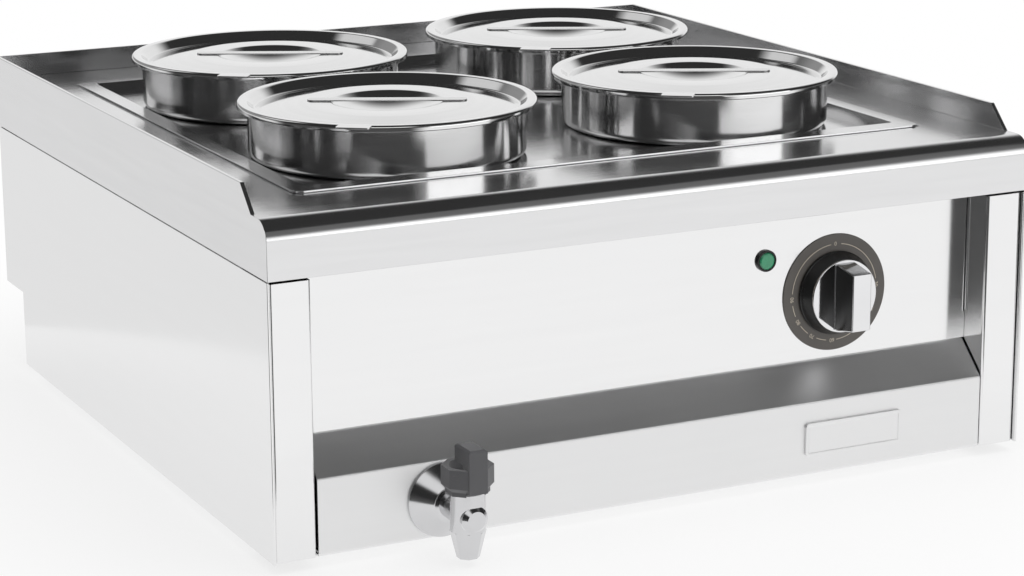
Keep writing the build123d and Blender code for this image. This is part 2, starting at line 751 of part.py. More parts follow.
def make_knob_cap():
    """Bright face of the knob with its tapered bar grip."""
    low = DIAL_SHEET + KNOB_GAP + KNOB_SKIRT
    face = low + CAP_DISC
    half = GRIP_LENGTH / 2
    half_face = GRIP_FACE_LENGTH / 2
    side = [(-half, low), (half, low), (half, face), (half_face, face + GRIP_PROUD)]
    side += [(-half_face, face + GRIP_PROUD), (-half, face)]
    grip = slab_x(make_face(Polyline(*side, close=True)), 0, GRIP_WIDTH)
    grip = chamfer(grip.edges().group_by(Axis.Z)[-1], GRIP_EDGE)
    cap = grip + rod(KNOB_FACE_RADIUS, low, face)
    return facing_front(knob_x, panel_y, knob_z) * cap


def make_thermostat_bulb():
    """Capillary from the back of the thermostat, a seal on the tank's wall and the bulb inside it."""
    start = panel_back_y + THERMOSTAT_DEEP - tank_front_face_y
    end = front_pot_y - POT_BODY_RADIUS - BULB_GAP - tank_front_face_y
    outline = [
        (0, start),
        (CAPILLARY_RADIUS, start),
        (CAPILLARY_RADIUS, -BULB_SEAL),
        (BULB_SEAL_RADIUS, -BULB_SEAL),
        (BULB_SEAL_RADIUS, 0),
        (BULB_RADIUS, 0),
        (BULB_RADIUS, end),
        (0, end),
    ]
    return facing_rear(knob_x, tank_front_face_y, knob_z - CAPILLARY_DROP) * turned(outline)


def make_overheat_cutout():
    """Disc cut-out against the front wall of the tank."""
    disc = rod(CUTOUT_RADIUS, 0, CUTOUT_DISC)
    disc += rod(CUTOUT_NECK_RADIUS, CUTOUT_DISC, CUTOUT_DISC + CUTOUT_NECK)
    return facing_front(CUTOUT_X, tank_front_face_y, tank_floor_z + CUTOUT_LIFT) * disc


def make_terminal_block():
    """Mains terminal block on the base, with its screw wells."""
    low = base_z + SHEET
    mid_y = notch_y - BLOCK_FROM_REAR
    half_long = BLOCK_LENGTH / 2
    half_deep = BLOCK_DEEP / 2
    base = block((-half_long, -half_deep, 0), (half_long, half_deep, BLOCK_TALL))
    pitch = BLOCK_LENGTH / BLOCK_WELLS
    for i in range(BLOCK_WELLS):
        x = (i + 0.5) * pitch - half_long
        base -= Pos(x, 0, 0) * rod(BLOCK_WELL_RADIUS, BLOCK_TALL / 2, 2 * BLOCK_TALL)
    return Pos(inlet_x, mid_y, low) * base


def make_mains_gland():
    """Cable gland through the rear panel, with an open bore."""
    gland = prism(INLET_FLATS, 6, 0, INLET_FLANGE)
    gland += rod(INLET_DOME_RADIUS, INLET_FLANGE, INLET_FLANGE + INLET_DOME)
    gland += rod(INLET_THREAD_RADIUS, -SHEET - INLET_THREAD, 0)
    gland -= rod(INLET_BORE_RADIUS, -2 * INLET_THREAD, 2 * (INLET_FLANGE + INLET_DOME))
    return facing_rear(inlet_x, notch_y, body_z + INLET_HEIGHT) * gland


def make_mains_gland_nut():
    """Nut on the inside of the mains gland."""
    nut = prism(INLET_FLATS, 6, -SHEET - INLET_NUT, -SHEET)
    nut -= rod(INLET_THREAD_RADIUS + SCREW_PLAY, -2 * INLET_THREAD, 0)
    return facing_rear(inlet_x, notch_y, body_z + INLET_HEIGHT) * nut


def make_lamp_bezel():
    """Ring round the lamp's lens."""
    inside = LAMP_RADIUS + LAMP_PLAY
    ring = tube(inside + LAMP_BEZEL, inside, 0, LAMP_BEZEL_PROUD)
    return facing_front(lamp_x, panel_y, lamp_z) * ring


def make_lamp_lens():
    """Lens of the indicator lamp with a bevelled edge."""
    edge_z = LAMP_LENS_PROUD - LAMP_LENS_EDGE
    outline = [
        (0, 0),
        (LAMP_RADIUS, 0),
        (LAMP_RADIUS, edge_z),
        (LAMP_RADIUS - LAMP_LENS_EDGE, LAMP_LENS_PROUD),
        (0, LAMP_LENS_PROUD),
    ]
    return facing_front(lamp_x, panel_y, lamp_z) * turned(outline)


def make_lamp_body():
    """Barrel of the lamp behind its lens."""
    return facing_front(lamp_x, panel_y, lamp_z) * rod(LAMP_RADIUS, -LAMP_DEEP, 0)


def make_lamp_nut():
    """Nut that holds the lamp to the back of the panel."""
    nut = prism(LAMP_NUT_FLATS, 6, -SHEET - LAMP_NUT, -SHEET)
    nut -= rod(LAMP_RADIUS + LAMP_PLAY, -LAMP_DEEP, 0)
    return facing_front(lamp_x, panel_y, lamp_z) * nut


def make_badge_plate():
    """Bare raised plate on the bottom rail."""
    plate = extrude(RectangleRounded(BADGE_LENGTH, BADGE_TALL, BADGE_CORNER), BADGE_PROUD)
    plate = chamfer(plate.faces().sort_by(Axis.Z)[-1].edges(), BADGE_PROUD / 4)
    return facing_front(badge_x, post_y, body_z + BADGE_HEIGHT) * plate


def make_tap_body():
    """Tap body with a shank, a barrel over its seat, a front boss and an eight-sided spout."""
    body = rod(BARREL_RADIUS, -SPOUT_START, BARREL_RISE)
    ends = []
    for z, flats in ((-SPOUT_START, SPOUT_FLATS), (-SPOUT_DROP, SPOUT_END_FLATS)):
        ends.append(Pos(0, 0, z) * RegularPolygon(flats / 2, 8, major_radius=False, rotation=22.5))
    body += loft(ends, ruled=True)
    front = facing_front(0, 0, 0)
    boss = rod(BOSS_RADIUS, 0, BOSS_REACH)
    boss = chamfer(boss.edges().sort_by(Axis.Z)[-1], BOSS_EDGE)
    body += front * boss
    body += front * rod(NECK_RADIUS, ESCUTCHEON_PROUD - TAP_REACH, 0)
    body += front * rod(SHANK_RADIUS, -TAP_REACH - SHANK_TAIL, 0)
    body -= rod(CHAMBER_RADIUS, -seat_drop, 2 * BARREL_RISE)
    body -= rod(WATERWAY_RADIUS, -2 * SPOUT_DROP, 0)
    body -= front * rod(WATERWAY_RADIUS, -2 * (TAP_REACH + SHANK_TAIL), 0)
    return Pos(tap_x, tap_y, tap_z) * body


def make_tap_flange():
    """Conical flange between the tap and the rail."""
    hole = SHANK_RADIUS + SHANK_PLAY
    outline = [
        (hole, 0),
        (ESCUTCHEON_RADIUS, 0),
        (ESCUTCHEON_RADIUS, ESCUTCHEON_EDGE),
        (ESCUTCHEON_NOSE_RADIUS, ESCUTCHEON_PROUD),
        (hole, ESCUTCHEON_PROUD),
    ]
    return facing_front(tap_x, post_y, tap_z) * turned(outline)


def make_tap_washer():
    """Sealing washer behind the rail."""
    washer = tube(WASHER_RADIUS, SHANK_RADIUS + SHANK_PLAY, -SHEET - WASHER_THICK, -SHEET)
    return facing_front(tap_x, post_y, tap_z) * washer


def make_tap_back_nut():
    """Back nut that clamps the tap to the rail."""
    high = -SHEET - WASHER_THICK
    nut = prism(BACK_NUT_FLATS, 6, high - BACK_NUT_THICK, high)
    nut -= rod(SHANK_RADIUS + SHANK_PLAY, 2 * (high - BACK_NUT_THICK), 0)
    return facing_front(tap_x, post_y, tap_z) * nut


def make_tap_bonnet():
    """Eight-sided bonnet with an open top, a front slot for the lever and a bore for the spring."""
    flare_z = BARREL_RISE + COLLAR_HEIGHT
    octagon_z = flare_z + COLLAR_FLARE
    top_z = BARREL_RISE + BONNET_HEIGHT
    floor_z = top_z - BONNET_CAVITY
    bonnet = prism(COLLAR_FLATS, 8, BARREL_RISE, flare_z)
    flare = []
    for z, flats in ((flare_z, COLLAR_FLATS), (octagon_z, BONNET_FLATS)):
        flare.append(Pos(0, 0, z) * RegularPolygon(flats / 2, 8, major_radius=False, rotation=22.5))
    bonnet += loft(flare, ruled=True)
    bonnet += prism(BONNET_FLATS, 8, octagon_z, top_z)
    bonnet += rod(CHAMBER_RADIUS - SPIGOT_PLAY, BARREL_RISE - SPIGOT_DROP, BARREL_RISE)
    bonnet -= rod(BONNET_CAVITY_RADIUS, floor_z, 2 * top_z)
    bonnet -= rod(SPRING_BORE_RADIUS, 0, floor_z - BONNET_WEB)
    bonnet -= rod(STEM_RADIUS + STEM_PLAY, 0, top_z)
    half_slot = LEVER_WIDTH / 2 + LEVER_PLAY
    slot_back = LEVER_STRIP / 2 - PIVOT_FORWARD - PANEL_PLAY
    bonnet -= block((-half_slot, -BONNET_FLATS, BARREL_RISE), (half_slot, slot_back, 2 * top_z))
    hole = rod(PIVOT_RADIUS + PIVOT_PLAY, -BONNET_FLATS, BONNET_FLATS)
    bonnet -= facing_right(0, -PIVOT_FORWARD, PIVOT_RISE) * hole
    return Pos(tap_x, tap_y, tap_z) * bonnet


def make_tap_lever():
    """Lever with a strip in the bonnet's slot and a forked block over the stem."""
    half = LEVER_WIDTH / 2
    front = lever_front_y - pivot_y
    back = PIVOT_FORWARD + LEVER_BLOCK_BACK
    block_top = LEVER_BLOCK_LIFT + LEVER_BLOCK_TALL
    strip = block((-half, front, -LEVER_HANG), (half, front + LEVER_STRIP, block_top))
    web = block((-half, front, -PIVOT_RADIUS), (half, PIVOT_BOSS_RADIUS, block_top))
    head = block((-half, front, LEVER_BLOCK_LIFT), (half, back, block_top))
    head = chamfer(head.edges().group_by(Axis.Z)[-1], LEVER_EDGE)
    strip = chamfer(strip.edges().filter_by(Axis.X).sort_by(Axis.Z)[-1], LEVER_EDGE)
    upper = block((-half, front, -LEVER_HANG), (half, back, LEVER_BLOCK_LIFT))
    lever = ((strip + web) & upper) + head + facing_right(0, 0, 0) * rod(PIVOT_BOSS_RADIUS, -half, half)
    room = half - FORK_WALL
    lever -= block((-room, FORK_START, RAIL_TOP), (room, 2 * back, RAIL_TOP + FORK_ROOM))
    throat = STEM_RADIUS + STEM_PLAY
    lever -= block((-throat, FORK_START, 0), (throat, 2 * back, RAIL_TOP + FORK_ROOM))
    lever -= facing_right(0, 0, 0) * rod(PIVOT_RADIUS + PIVOT_PLAY, -LEVER_WIDTH, LEVER_WIDTH)
    return Pos(tap_x, pivot_y, pivot_z) * lever


def make_tap_lever_pin():
    """Pin in the bonnet that the lever turns on, with its ends flush with the bonnet's sides."""
    pin = facing_right(0, -PIVOT_FORWARD, PIVOT_RISE) * rod(PIVOT_RADIUS, -BONNET_FLATS, BONNET_FLATS)
    return Pos(tap_x, tap_y, tap_z) * (pin & prism(BONNET_FLATS, 8, 0, 2 * PIVOT_RISE))


def stem_pin_height():
    """Height of the stem's cross pin above the shank's axis, just over the lever's fork."""
    return PIVOT_RISE + RAIL_TOP + STEM_PIN_RADIUS + STEM_PIN_PLAY


def make_tap_stem():
    """Stem from the cup up through the bonnet to the lever's fork."""
    low = CUP_HEIGHT - seat_drop - CUP_STEM_LAP
    stem = rod(STEM_RADIUS, low, PIVOT_RISE + STEM_TOP)
    hole = rod(STEM_PIN_RADIUS + PIVOT_PLAY, -BONNET_FLATS, BONNET_FLATS)
    stem -= facing_right(0, 0, stem_pin_height()) * hole
    return Pos(tap_x, tap_y, tap_z) * stem


def make_tap_stem_pin():
    """Cross pin of the stem, lifted by the lever's fork."""
    half = LEVER_WIDTH / 2 - FORK_WALL - PANEL_PLAY
    pin = facing_right(0, 0, stem_pin_height()) * rod(STEM_PIN_RADIUS, -half, half)
    return Pos(tap_x, tap_y, tap_z) * pin


def make_tap_seat_cup():
    """Soft cup on the stem that closes the tap's seat."""
    top = CUP_HEIGHT - seat_drop
    socket = STEM_RADIUS
    outline = [
        (0, -seat_drop),
        (CUP_RADIUS, -seat_drop),
        (CUP_TOP_RADIUS, top),
        (socket, top),
        (socket, top - CUP_STEM_LAP),
        (0, top - CUP_STEM_LAP),
    ]
    return Pos(tap_x, tap_y, tap_z) * turned(outline)


def make_tap_spring():
    """Spring between the cup and the bonnet, as the sleeve that its coils fill."""
    low = CUP_HEIGHT - seat_drop
    high = BARREL_RISE + BONNET_HEIGHT - BONNET_CAVITY - BONNET_WEB
    outside = CUP_TOP_RADIUS - SPIGOT_PLAY
    return Pos(tap_x, tap_y, tap_z) * tube(outside, outside - SPRING_WIRE, low, high)


def at_places(piece, places, height):
    """Copies of a piece at these places."""
    return [Pos(x, y, height) * piece for x, y in places]


def group(pieces):
    """Several like pieces kept as separate solids of one node."""
    return pieces[0] + pieces[1:]


side_panel = make_side_panel()
front_post = make_front_post()
pot = make_pot()
lid = make_lid()
lid_handle = make_lid_handle()
gland = make_element_gland()
rest = make_element_rest()
rest_y = element_back_y - ELEMENT_BEND - REST_LENGTH

nodes = {
    "worktop": make_worktop(),
    "pot_plate": make_pot_plate(),
    "left_side_panel": side_panel,
    "right_side_panel": mirror(side_panel, about=Plane.YZ),
    "left_front_post": front_post,
    "right_front_post": mirror(front_post, about=Plane.YZ),
    "control_panel": make_control_panel(),
    "bottom_rail": make_bottom_rail(),
    "rear_panel": make_rear_panel(),
    "base_plate": make_base_plate(),
    "feet": group(at_places(make_foot(), foot_places, 0)),
    "foot_screws": group(at_places(make_foot_screw(), foot_places, 0)),
    "water_tank": make_water_tank(),
    "drain_pipe": make_drain_pipe(),
    "heating_element": make_element(),
    "element_glands": group([facing_front(x, tank_front_face_y, z) * gland for x, z in element_places]),
    "element_rests": group([Pos(x, rest_y, 0) * rest for x, _ in element_places]),
    "thermostat_body": make_thermostat_body(),
    "thermostat_shaft": make_thermostat_shaft(),
    "thermostat_bulb": make_thermostat_bulb(),
    "overheat_cutout": make_overheat_cutout(),
    "terminal_block": make_terminal_block(),
    "mains_gland": make_mains_gland(),
    "mains_gland_nut": make_mains_gland_nut(),
    "dial_plate": make_dial_plate(),
    "knob_skirt": make_knob_skirt(),
    "knob_cap": make_knob_cap(),
    "lamp_bezel": make_lamp_bezel(),
    "lamp_lens": make_lamp_lens(),
    "lamp_body": make_lamp_body(),
    "lamp_nut": make_lamp_nut(),
    "badge_plate": make_badge_plate(),
    "tap_body": make_tap_body(),
    "tap_flange": make_tap_flange(),
    "tap_washer": make_tap_washer(),
    "tap_back_nut": make_tap_back_nut(),
    "tap_bonnet": make_tap_bonnet(),
    "tap_lever": make_tap_lever(),
    "tap_lever_pin": make_tap_lever_pin(),
    "tap_stem": make_tap_stem(),
    "tap_stem_pin": make_tap_stem_pin(),
    "tap_seat_cup": make_tap_seat_cup(),
    "tap_spring": make_tap_spring(),
}
for place, (x, y) in pot_places.items():
    nodes[f"pot_{place}"] = Pos(x, y, 0) * pot
    nodes[f"lid_{place}"] = Pos(x, y, 0) * lid
    nodes[f"lid_handle_{place}"] = Pos(x, y, 0) * lid_handle

os.makedirs("parts", exist_ok=True)
for name, solid in nodes.items():
    export_step(Pos(0, -footprint_mid_y, 0) * solid, f"parts/{name}.step")
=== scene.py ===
import json
import math

import bpy
from bpy.props import FloatProperty, FloatVectorProperty, IntProperty, PointerProperty
from bpy.types import Operator, Panel, PropertyGroup
from mathutils import Matrix, Vector


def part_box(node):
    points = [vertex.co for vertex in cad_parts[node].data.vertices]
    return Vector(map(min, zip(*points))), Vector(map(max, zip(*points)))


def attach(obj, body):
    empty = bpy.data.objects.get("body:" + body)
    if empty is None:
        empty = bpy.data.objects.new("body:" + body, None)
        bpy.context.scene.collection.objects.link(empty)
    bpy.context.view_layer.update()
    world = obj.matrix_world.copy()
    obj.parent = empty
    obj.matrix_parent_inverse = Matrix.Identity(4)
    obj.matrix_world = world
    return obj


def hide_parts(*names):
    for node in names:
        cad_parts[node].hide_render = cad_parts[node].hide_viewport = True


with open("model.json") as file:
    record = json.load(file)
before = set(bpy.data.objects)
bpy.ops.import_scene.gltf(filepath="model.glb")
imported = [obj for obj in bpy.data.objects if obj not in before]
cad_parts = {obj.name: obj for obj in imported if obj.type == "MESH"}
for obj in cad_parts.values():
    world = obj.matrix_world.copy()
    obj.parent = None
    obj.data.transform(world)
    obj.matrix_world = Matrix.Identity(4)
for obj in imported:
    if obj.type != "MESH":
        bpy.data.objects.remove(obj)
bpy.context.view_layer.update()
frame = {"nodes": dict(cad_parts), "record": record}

bl_info = {
    "name": "Counter-top bain marie",
    "version": (1, 0, 0),
    "blender": (4, 5, 0),
    "location": "View3D > Sidebar > Bain marie",
    "description": "Models and finishes the pieces of a bain marie over its packed frame",
    "category": "Object",
}

MM = 0.001
UP = Vector((0, 0, 1))
FRONT = Vector((0, -1, 0))
BACK = Vector((0, 1, 0))
RIGHT = Vector((1, 0, 0))

# Share of an axis that a face's normal reaches when the face looks along it
FACING = 0.9

PLACES = ("front_left", "front_right", "rear_left", "rear_right")
SLOT_OF = {part["node"]: part["material_slot"] for part in frame["record"]["subparts"]}
BODY_OF = {node: body for body, nodes in frame["record"]["behaviour"]["bodies"].items()
           for node in nodes}

# Folded sheets, and the finishes of those that don't have the front's
FORMED_SHEETS = ("worktop", "pot_plate", "left_side_panel", "right_side_panel", "left_front_post",
                 "right_front_post", "control_panel", "bottom_rail", "rear_panel")
SHEET_FINISHES = {"worktop": "body_steel", "pot_plate": "body_steel", "bottom_rail": "rail_sheet"}

# Figures on the dial and their turns from the top in degrees
DIAL_MARKS = (("0", 0), ("30", 87), ("40", 116), ("50", 148), ("60", 182), ("70", 211),
              ("80", 238), ("90", 267))

# Sides of the mirrored room: compass middle, half width, amount, soft edge
DARK_SIDES = ((-147, 57, 0.92, 8), (8, 36, 0.85, 8), (120, 45, 0.15, 8))
WINDOWS = ((130, 18, 0.7, 5), (-120, 28, 0.95, 8))
BACKDROP, SIDE_GLOW = (54, 28, 1.0, 8), (112, 38, 0.3, 16)


def number(name, description, default, **options):
    """A number for a property group."""
    return FloatProperty(name=name, description=description, default=default, **options)


def length(name, description, default):
    """A length in millimetres for a property group, kept in metres."""
    return number(name, description, default * MM, unit="LENGTH", subtype="DISTANCE")


def angle(name, description, default):
    """An angle in degrees for a property group, kept in radians."""
    return number(name, description, math.radians(default), unit="ROTATION", subtype="ANGLE")


def share(name, description, default):
    """A number from 0 to 1 for a property group."""
    return number(name, description, default, min=0, max=1, subtype="FACTOR")


def colour(name, description, default):
    """A linear colour for a property group."""
    return FloatVectorProperty(name=name, description=description, default=default,
                               subtype="COLOR", size=3, min=0, max=1)


class SheetSettings(PropertyGroup):
    """Sizes and finish of the folded steel sheets."""

    edge: length("Edge", "Rounding of a sheet's cut edges", 0.35)
    post_reach: length("Post reach", "Reach of a front post towards its side panel", 1.6)
    rail_reach: length("Rail reach", "Reach of the rail's ends towards the posts", 0.9)
    tint: colour("Steel", "Colour of the brushed sheet", (0.76, 0.76, 0.765))
    front_tint: colour("Front steel", "Colour of the panels, posts and rail", (0.86, 0.86, 0.862))
    roughness: share("Top roughness", "Roughness of the worktop and plate", 0.17)
    front_roughness: share("Front roughness", "Roughness of the panels and posts", 0.14)
    rail_roughness: share("Rail roughness", "Roughness of the bottom rail", 0.42)
    grain: number("Grain", "Grain lines per metre across the brushing", 1500)
    screw_radius: length("Screw head", "Radius of a rear screw's head", 4)


class PotSettings(PropertyGroup):
    """Sizes and finish of the pots and lids."""

    sheet: length("Sheet", "Thickness of a pot's or lid's wall", 1.2)
    rise: length("Rise", "Height of a pot's bowl over the plate", 40)
    rim: length("Rim", "Width of a pot's rim outside its bowl", 5)
    bead: length("Bead", "Width of the roll under a pot's rim", 2.4)
    flare: length("Flare", "Spread of a pot's mouth below its rim", 3.5)
    body_radius: length("Body", "Radius of a pot below the plate", 88)
    shoulder: length("Shoulder", "Rounding of a pot's shoulder", 10.5)
    foot: length("Foot", "Rounding of a pot's lower edge", 10)
    lip: length("Lip", "Depth of a lid's turned-down edge", 3.5)
    lid_rim: length("Lid rim", "Width of a lid's flat rim", 6.96)
    wall_run: length("Wall", "Width of a lid's sloping inner wall", 5.5)
    channel: length("Channel", "Depth of a lid's groove", 6.5)
    channel_width: length("Channel width", "Width of a lid's groove", 4)
    land: length("Land", "Width of the flat ring round a lid's well", 21)
    land_drop: length("Land drop", "Depth of the flat ring below a lid's rim", 2)
    well: length("Well", "Depth of a lid's finger well", 10)
    well_radius: length("Well radius", "Radius of a lid's finger well", 41)
    tab: length("Tab", "Reach of a lid's tab outside its rim", 7)
    tab_wide: length("Tab width", "Width of a lid's tab", 24)
    tab_angle: angle("Tab angle", "Compass direction of a lid's tab", -126)
    strap_long: length("Strap length", "Length of a lid's strap", 116)
    strap_wide: length("Strap width", "Width of a lid's strap", 11)
    strap_thick: length("Strap", "Thickness of a lid's strap", 0.9)
    strap_angle: angle("Strap angle", "Turn of a lid's strap", -27)
    tint: colour("Polish", "Colour of the polished steel", (0.80, 0.80, 0.80))
    steps: IntProperty(name="Steps", description="Steps round a turned piece", default=96, min=24)


class ControlSettings(PropertyGroup):
    """Sizes and colours of the knob, dial, lamp and tap."""

    grip_wide: length("Bar width", "Width of the knob's bar", 15.5)
    grip_long: length("Bar length", "Length of the knob's bar at its foot", 50)
    grip_face: length("Bar face", "Length of the knob's bar at its front", 42)
    grip_foot: length("Bar foot", "Width of the step round the knob's bar", 0.9)
    face_thick: length("Face", "Thickness of the knob's bright face", 1.5)
    ring_radius: length("Ring", "Radius of the dial's printed ring", 36)
    ring_width: length("Ring line", "Width of the dial's printed ring", 0.5)
    figure: length("Figure", "Height of the dial's figures", 4.2)
    ink: length("Ink", "Thickness of the dial's print", 0.04)
    print_colour: colour("Print", "Colour of the dial's print", (0.62, 0.55, 0.45))
    dial_colour: colour("Dial", "Colour of the dial", (0.112, 0.103, 0.094))
    knob_colour: colour("Knob", "Colour of the knob's skirt", (0.012, 0.012, 0.012))
    lamp_colour: colour("Lamp", "Colour of the lamp's lens", (0.03, 0.27, 0.13))
    tap_colour: colour("Tap lever", "Colour of the lever and bonnet", (0.092, 0.092, 0.097))
    edge: length("Edge", "Rounding of the tap's edges", 0.5)


class StageSettings(PropertyGroup):
    """Floor, lights and camera."""

    floor_colour: colour("Floor", "Colour of the pale floor", (0.93, 0.93, 0.93))
    ambient: number("Ambient", "Even light from all round", 0.55, min=0)
    softbox: number("Softbox", "Power of the soft light at the front right", 2.4, unit="POWER")
    backdrop: number("Backdrop", "Brightness of the white backdrop", 0.9, min=0)
    top_light: number("Top panel", "Power of the overhead light", 30, unit="POWER")
    lens: number("Lens", "Focal length of the camera", 99.66, subtype="DISTANCE_CAMERA")


def settings(kind):
    """The scene's settings of one kind."""
    return getattr(bpy.context.scene, "bain_marie_" + kind)


def deselect():
    """Leave edit mode with nothing selected."""
    active = bpy.context.view_layer.objects.active
    if active is not None and active.mode != "OBJECT":
        bpy.ops.object.mode_set(mode="OBJECT")
    bpy.ops.object.select_all(action="DESELECT")


def pick(piece):
    """Leave edit mode and select one piece alone."""
    deselect()
    piece.select_set(True)
    bpy.context.view_layer.objects.active = piece


def added(name, operator, **options):
    """Add an object with nothing else selected, and name it."""
    deselect()
    operator(**options)
    piece = bpy.context.active_object
    piece.name = name
    return piece


def select_where(piece, kind, wanted):
    """Go into edit mode with only the faces or edges selected that wanted() takes."""
    pick(piece)
    mesh = piece.data
    for item in (*mesh.vertices, *mesh.edges, *mesh.polygons):
        item.select = False
    if kind == "FACE":
        for face in mesh.polygons:
            face.select = wanted(face.center, face.normal)
    else:
        for edge in mesh.edges:
            edge.select = wanted(*(mesh.vertices[index].co for index in edge.vertices))
    bpy.context.tool_settings.mesh_select_mode = (False, kind == "EDGE", kind == "FACE")
    bpy.ops.object.mode_set(mode="EDIT")


def to_the_front(centre, normal):
    """Takes the faces that look to the front."""
    return normal.y < -FACING


def round_corners(piece, wanted, radius, segments):
    """Round the edges that wanted() takes."""
    select_where(piece, "EDGE", wanted)
    bpy.ops.mesh.bevel(offset=radius, segments=segments, affect="EDGES")


def settle(piece, turn=30):
    """Put a piece's place into its mesh and shade it smooth up to an angle."""
    pick(piece)
    bpy.ops.object.transform_apply()
    bpy.ops.object.shade_smooth_by_angle(angle=math.radians(turn))
    piece.data.name = piece.name
    return piece


def modified(piece, kind, **values):
    """Apply a modifier with the given values to a piece."""
    pick(piece)
    modifier = piece.modifiers.new(kind.lower(), kind)
    for name, value in values.items():
        setattr(modifier, name, value)
    bpy.ops.object.modifier_apply(modifier=modifier.name)
    return piece


def soften(piece, width, segments=2, turn=35):
    """Round a piece's sharp edges."""
    return modified(piece, "BEVEL", width=width, segments=segments, limit_method="ANGLE",
                    angle_limit=math.radians(turn))


def level_faces(piece):
    """Keep large flat faces flat in the shading beside their rounded edges."""
    return modified(piece, "WEIGHTED_NORMAL", keep_sharp=True)


def block(name, middle, size):
    """A box with its place and size in its mesh."""
    piece = added(name, bpy.ops.mesh.primitive_cube_add, size=1, location=middle, scale=size)
    bpy.ops.object.transform_apply()
    return piece


def merge_doubles(piece, threshold):
    """Go into edit mode with the whole piece selected and its doubles merged."""
    pick(piece)
    bpy.ops.object.mode_set(mode="EDIT")
    bpy.ops.mesh.select_all(action="SELECT")
    bpy.ops.mesh.remove_doubles(threshold=threshold)


def rounded(corners):
    """Points along an outline of (radius, reach, rounding) corners."""
    most, arc_step = 0.49, math.radians(15)
    points = []
    for index, (radius, reach, rounding) in enumerate(corners):
        here = Vector((radius, reach))
        if not rounding:
            points.append(here)
            continue
        before, after = (Vector(corners[index + side][:2]) - here for side in (-1, 1))
        half_turn = before.angle(after) / 2
        reach_back = min(rounding / math.tan(half_turn), before.length * most, after.length * most)
        bend = reach_back * math.tan(half_turn)
        bisector = (before.normalized() + after.normalized()).normalized()
        middle = here + bisector * (bend / math.sin(half_turn))
        first, last = (here + way.normalized() * reach_back - middle for way in (before, after))
        sweep = first.angle_signed(last)
        steps = max(2, math.ceil(abs(sweep) / arc_step))
        for step in range(steps + 1):
            points.append(middle + Matrix.Rotation(-sweep * step / steps, 2) @ first)
    return points


def spun(name, corners, middle, along, steps):
    """Extrude a vertex along an outline and spin it about an axis through the middle."""
    outline = rounded(corners)
    start = middle + RIGHT * outline[0][0] + along * outline[0][1]
    piece = added(name, bpy.ops.mesh.primitive_plane_add, size=MM, location=start)
    bpy.ops.object.mode_set(mode="EDIT")
    bpy.ops.mesh.select_mode(type="VERT")
    bpy.ops.mesh.select_all(action="SELECT")
    bpy.ops.mesh.merge(type="CENTER")
    for before, after in zip(outline, outline[1:]):
        step = RIGHT * (after[0] - before[0]) + along * (after[1] - before[1])
        bpy.ops.mesh.extrude_region_move(TRANSFORM_OT_translate={"value": step})
    bpy.ops.mesh.select_all(action="SELECT")
    bpy.ops.mesh.spin(steps=steps, angle=2 * math.pi, center=middle, axis=along)
    merge_doubles(piece, 0.002 * MM)
    bpy.ops.mesh.normals_make_consistent(inside=False)
    return settle(piece)


def copied(piece, name, shift):
    """A copy of a piece with its own mesh, moved by shift."""
    pick(piece)
    bpy.ops.object.duplicate(linked=False)
    twin = bpy.context.active_object
    twin.name = name
    twin.location = shift
    bpy.ops.object.transform_apply()
    twin.data.name = name
    return twin


def joined(name, *pieces):
    """Join pieces into the first one."""
    pick(pieces[0])
    for piece in pieces[1:]:
        piece.select_set(True)
    bpy.ops.object.join()
    pieces[0].name = name
    return settle(pieces[0])


def formed(node, edge):
    """A copy of a node's mesh with merged faces and rounded edges."""
    piece = bpy.data.objects.new(node + "_formed", frame["nodes"][node].data.copy())
    bpy.context.collection.objects.link(piece)
    merge_doubles(piece, 0.005 * MM)
    bpy.ops.mesh.dissolve_limited(angle_limit=math.radians(0.6))
    return level_faces(settle(soften(piece, edge)))


def middle_of(node):
    """Middle of a node's box."""
    low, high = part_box(node)
    return (low + high) / 2


def round_on_front(node):
    """Middle of a round node's rear face, its radius and its depth."""
    low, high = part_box(node)
    middle = (low + high) / 2
    middle.y = high.y
    return middle, (high.x - low.x) / 2, high.y - low.y


def fit(piece, node, finish, stands_for=True):
    """Give a piece its finish and the body of a node, and let it stand for that node."""
    piece.data.materials.clear()
    piece.data.materials.append(finish)
    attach(piece, BODY_OF[node])
    if stands_for:
        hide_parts(node)
    return piece


def at_each_pot(first, name, node, finish):
    """Copy a piece of the front left pot to the others and fit all four to their nodes."""
    home = middle_of(f"{node}_{PLACES[0]}")
    pieces = [first]
    for place in PLACES[1:]:
        shift = middle_of(f"{node}_{place}") - home
        pieces.append(copied(first, f"{name}_{place}", shift))
    for place, piece in zip(PLACES, pieces):
        fit(piece, f"{node}_{place}", finish(place))


def add_node(tree, kind, inputs=None, **options):
    """Add a shader node, set its options, and set or link its inputs."""
    node = tree.nodes.new("ShaderNode" + kind)
    for name, value in options.items():
        setattr(node, name, value)
    for name, value in (inputs or {}).items():
        if isinstance(value, bpy.types.NodeSocket):
            tree.links.new(value, node.inputs[name])
        else:
            node.inputs[name].default_value = value
    return node


def math_node(tree, operation, first, second=0.0):
    """Output of a math node."""
    return add_node(tree, "Math", {0: first, 1: second}, operation=operation).outputs[0]


def times(tree, first, second):
    """Product of two values."""
    return math_node(tree, "MULTIPLY", first, second)


def vector_node(tree, operation, first, second=(0.0, 0.0, 0.0)):
    """Output of a vector math node."""
    node = add_node(tree, "VectorMath", {0: first, 1: second}, operation=operation)
    return node.outputs["Value" if operation in ("LENGTH", "DOT_PRODUCT") else "Vector"]


def ramp(tree, value, start, end, low=0.0, high=1.0, kind="LINEAR"):
    """A value that runs from low to high while another runs from start to end."""
    return add_node(tree, "MapRange", {
        "Value": value, "From Min": start, "From Max": end, "To Min": low, "To Max": high,
    }, interpolation_type=kind).outputs["Result"]


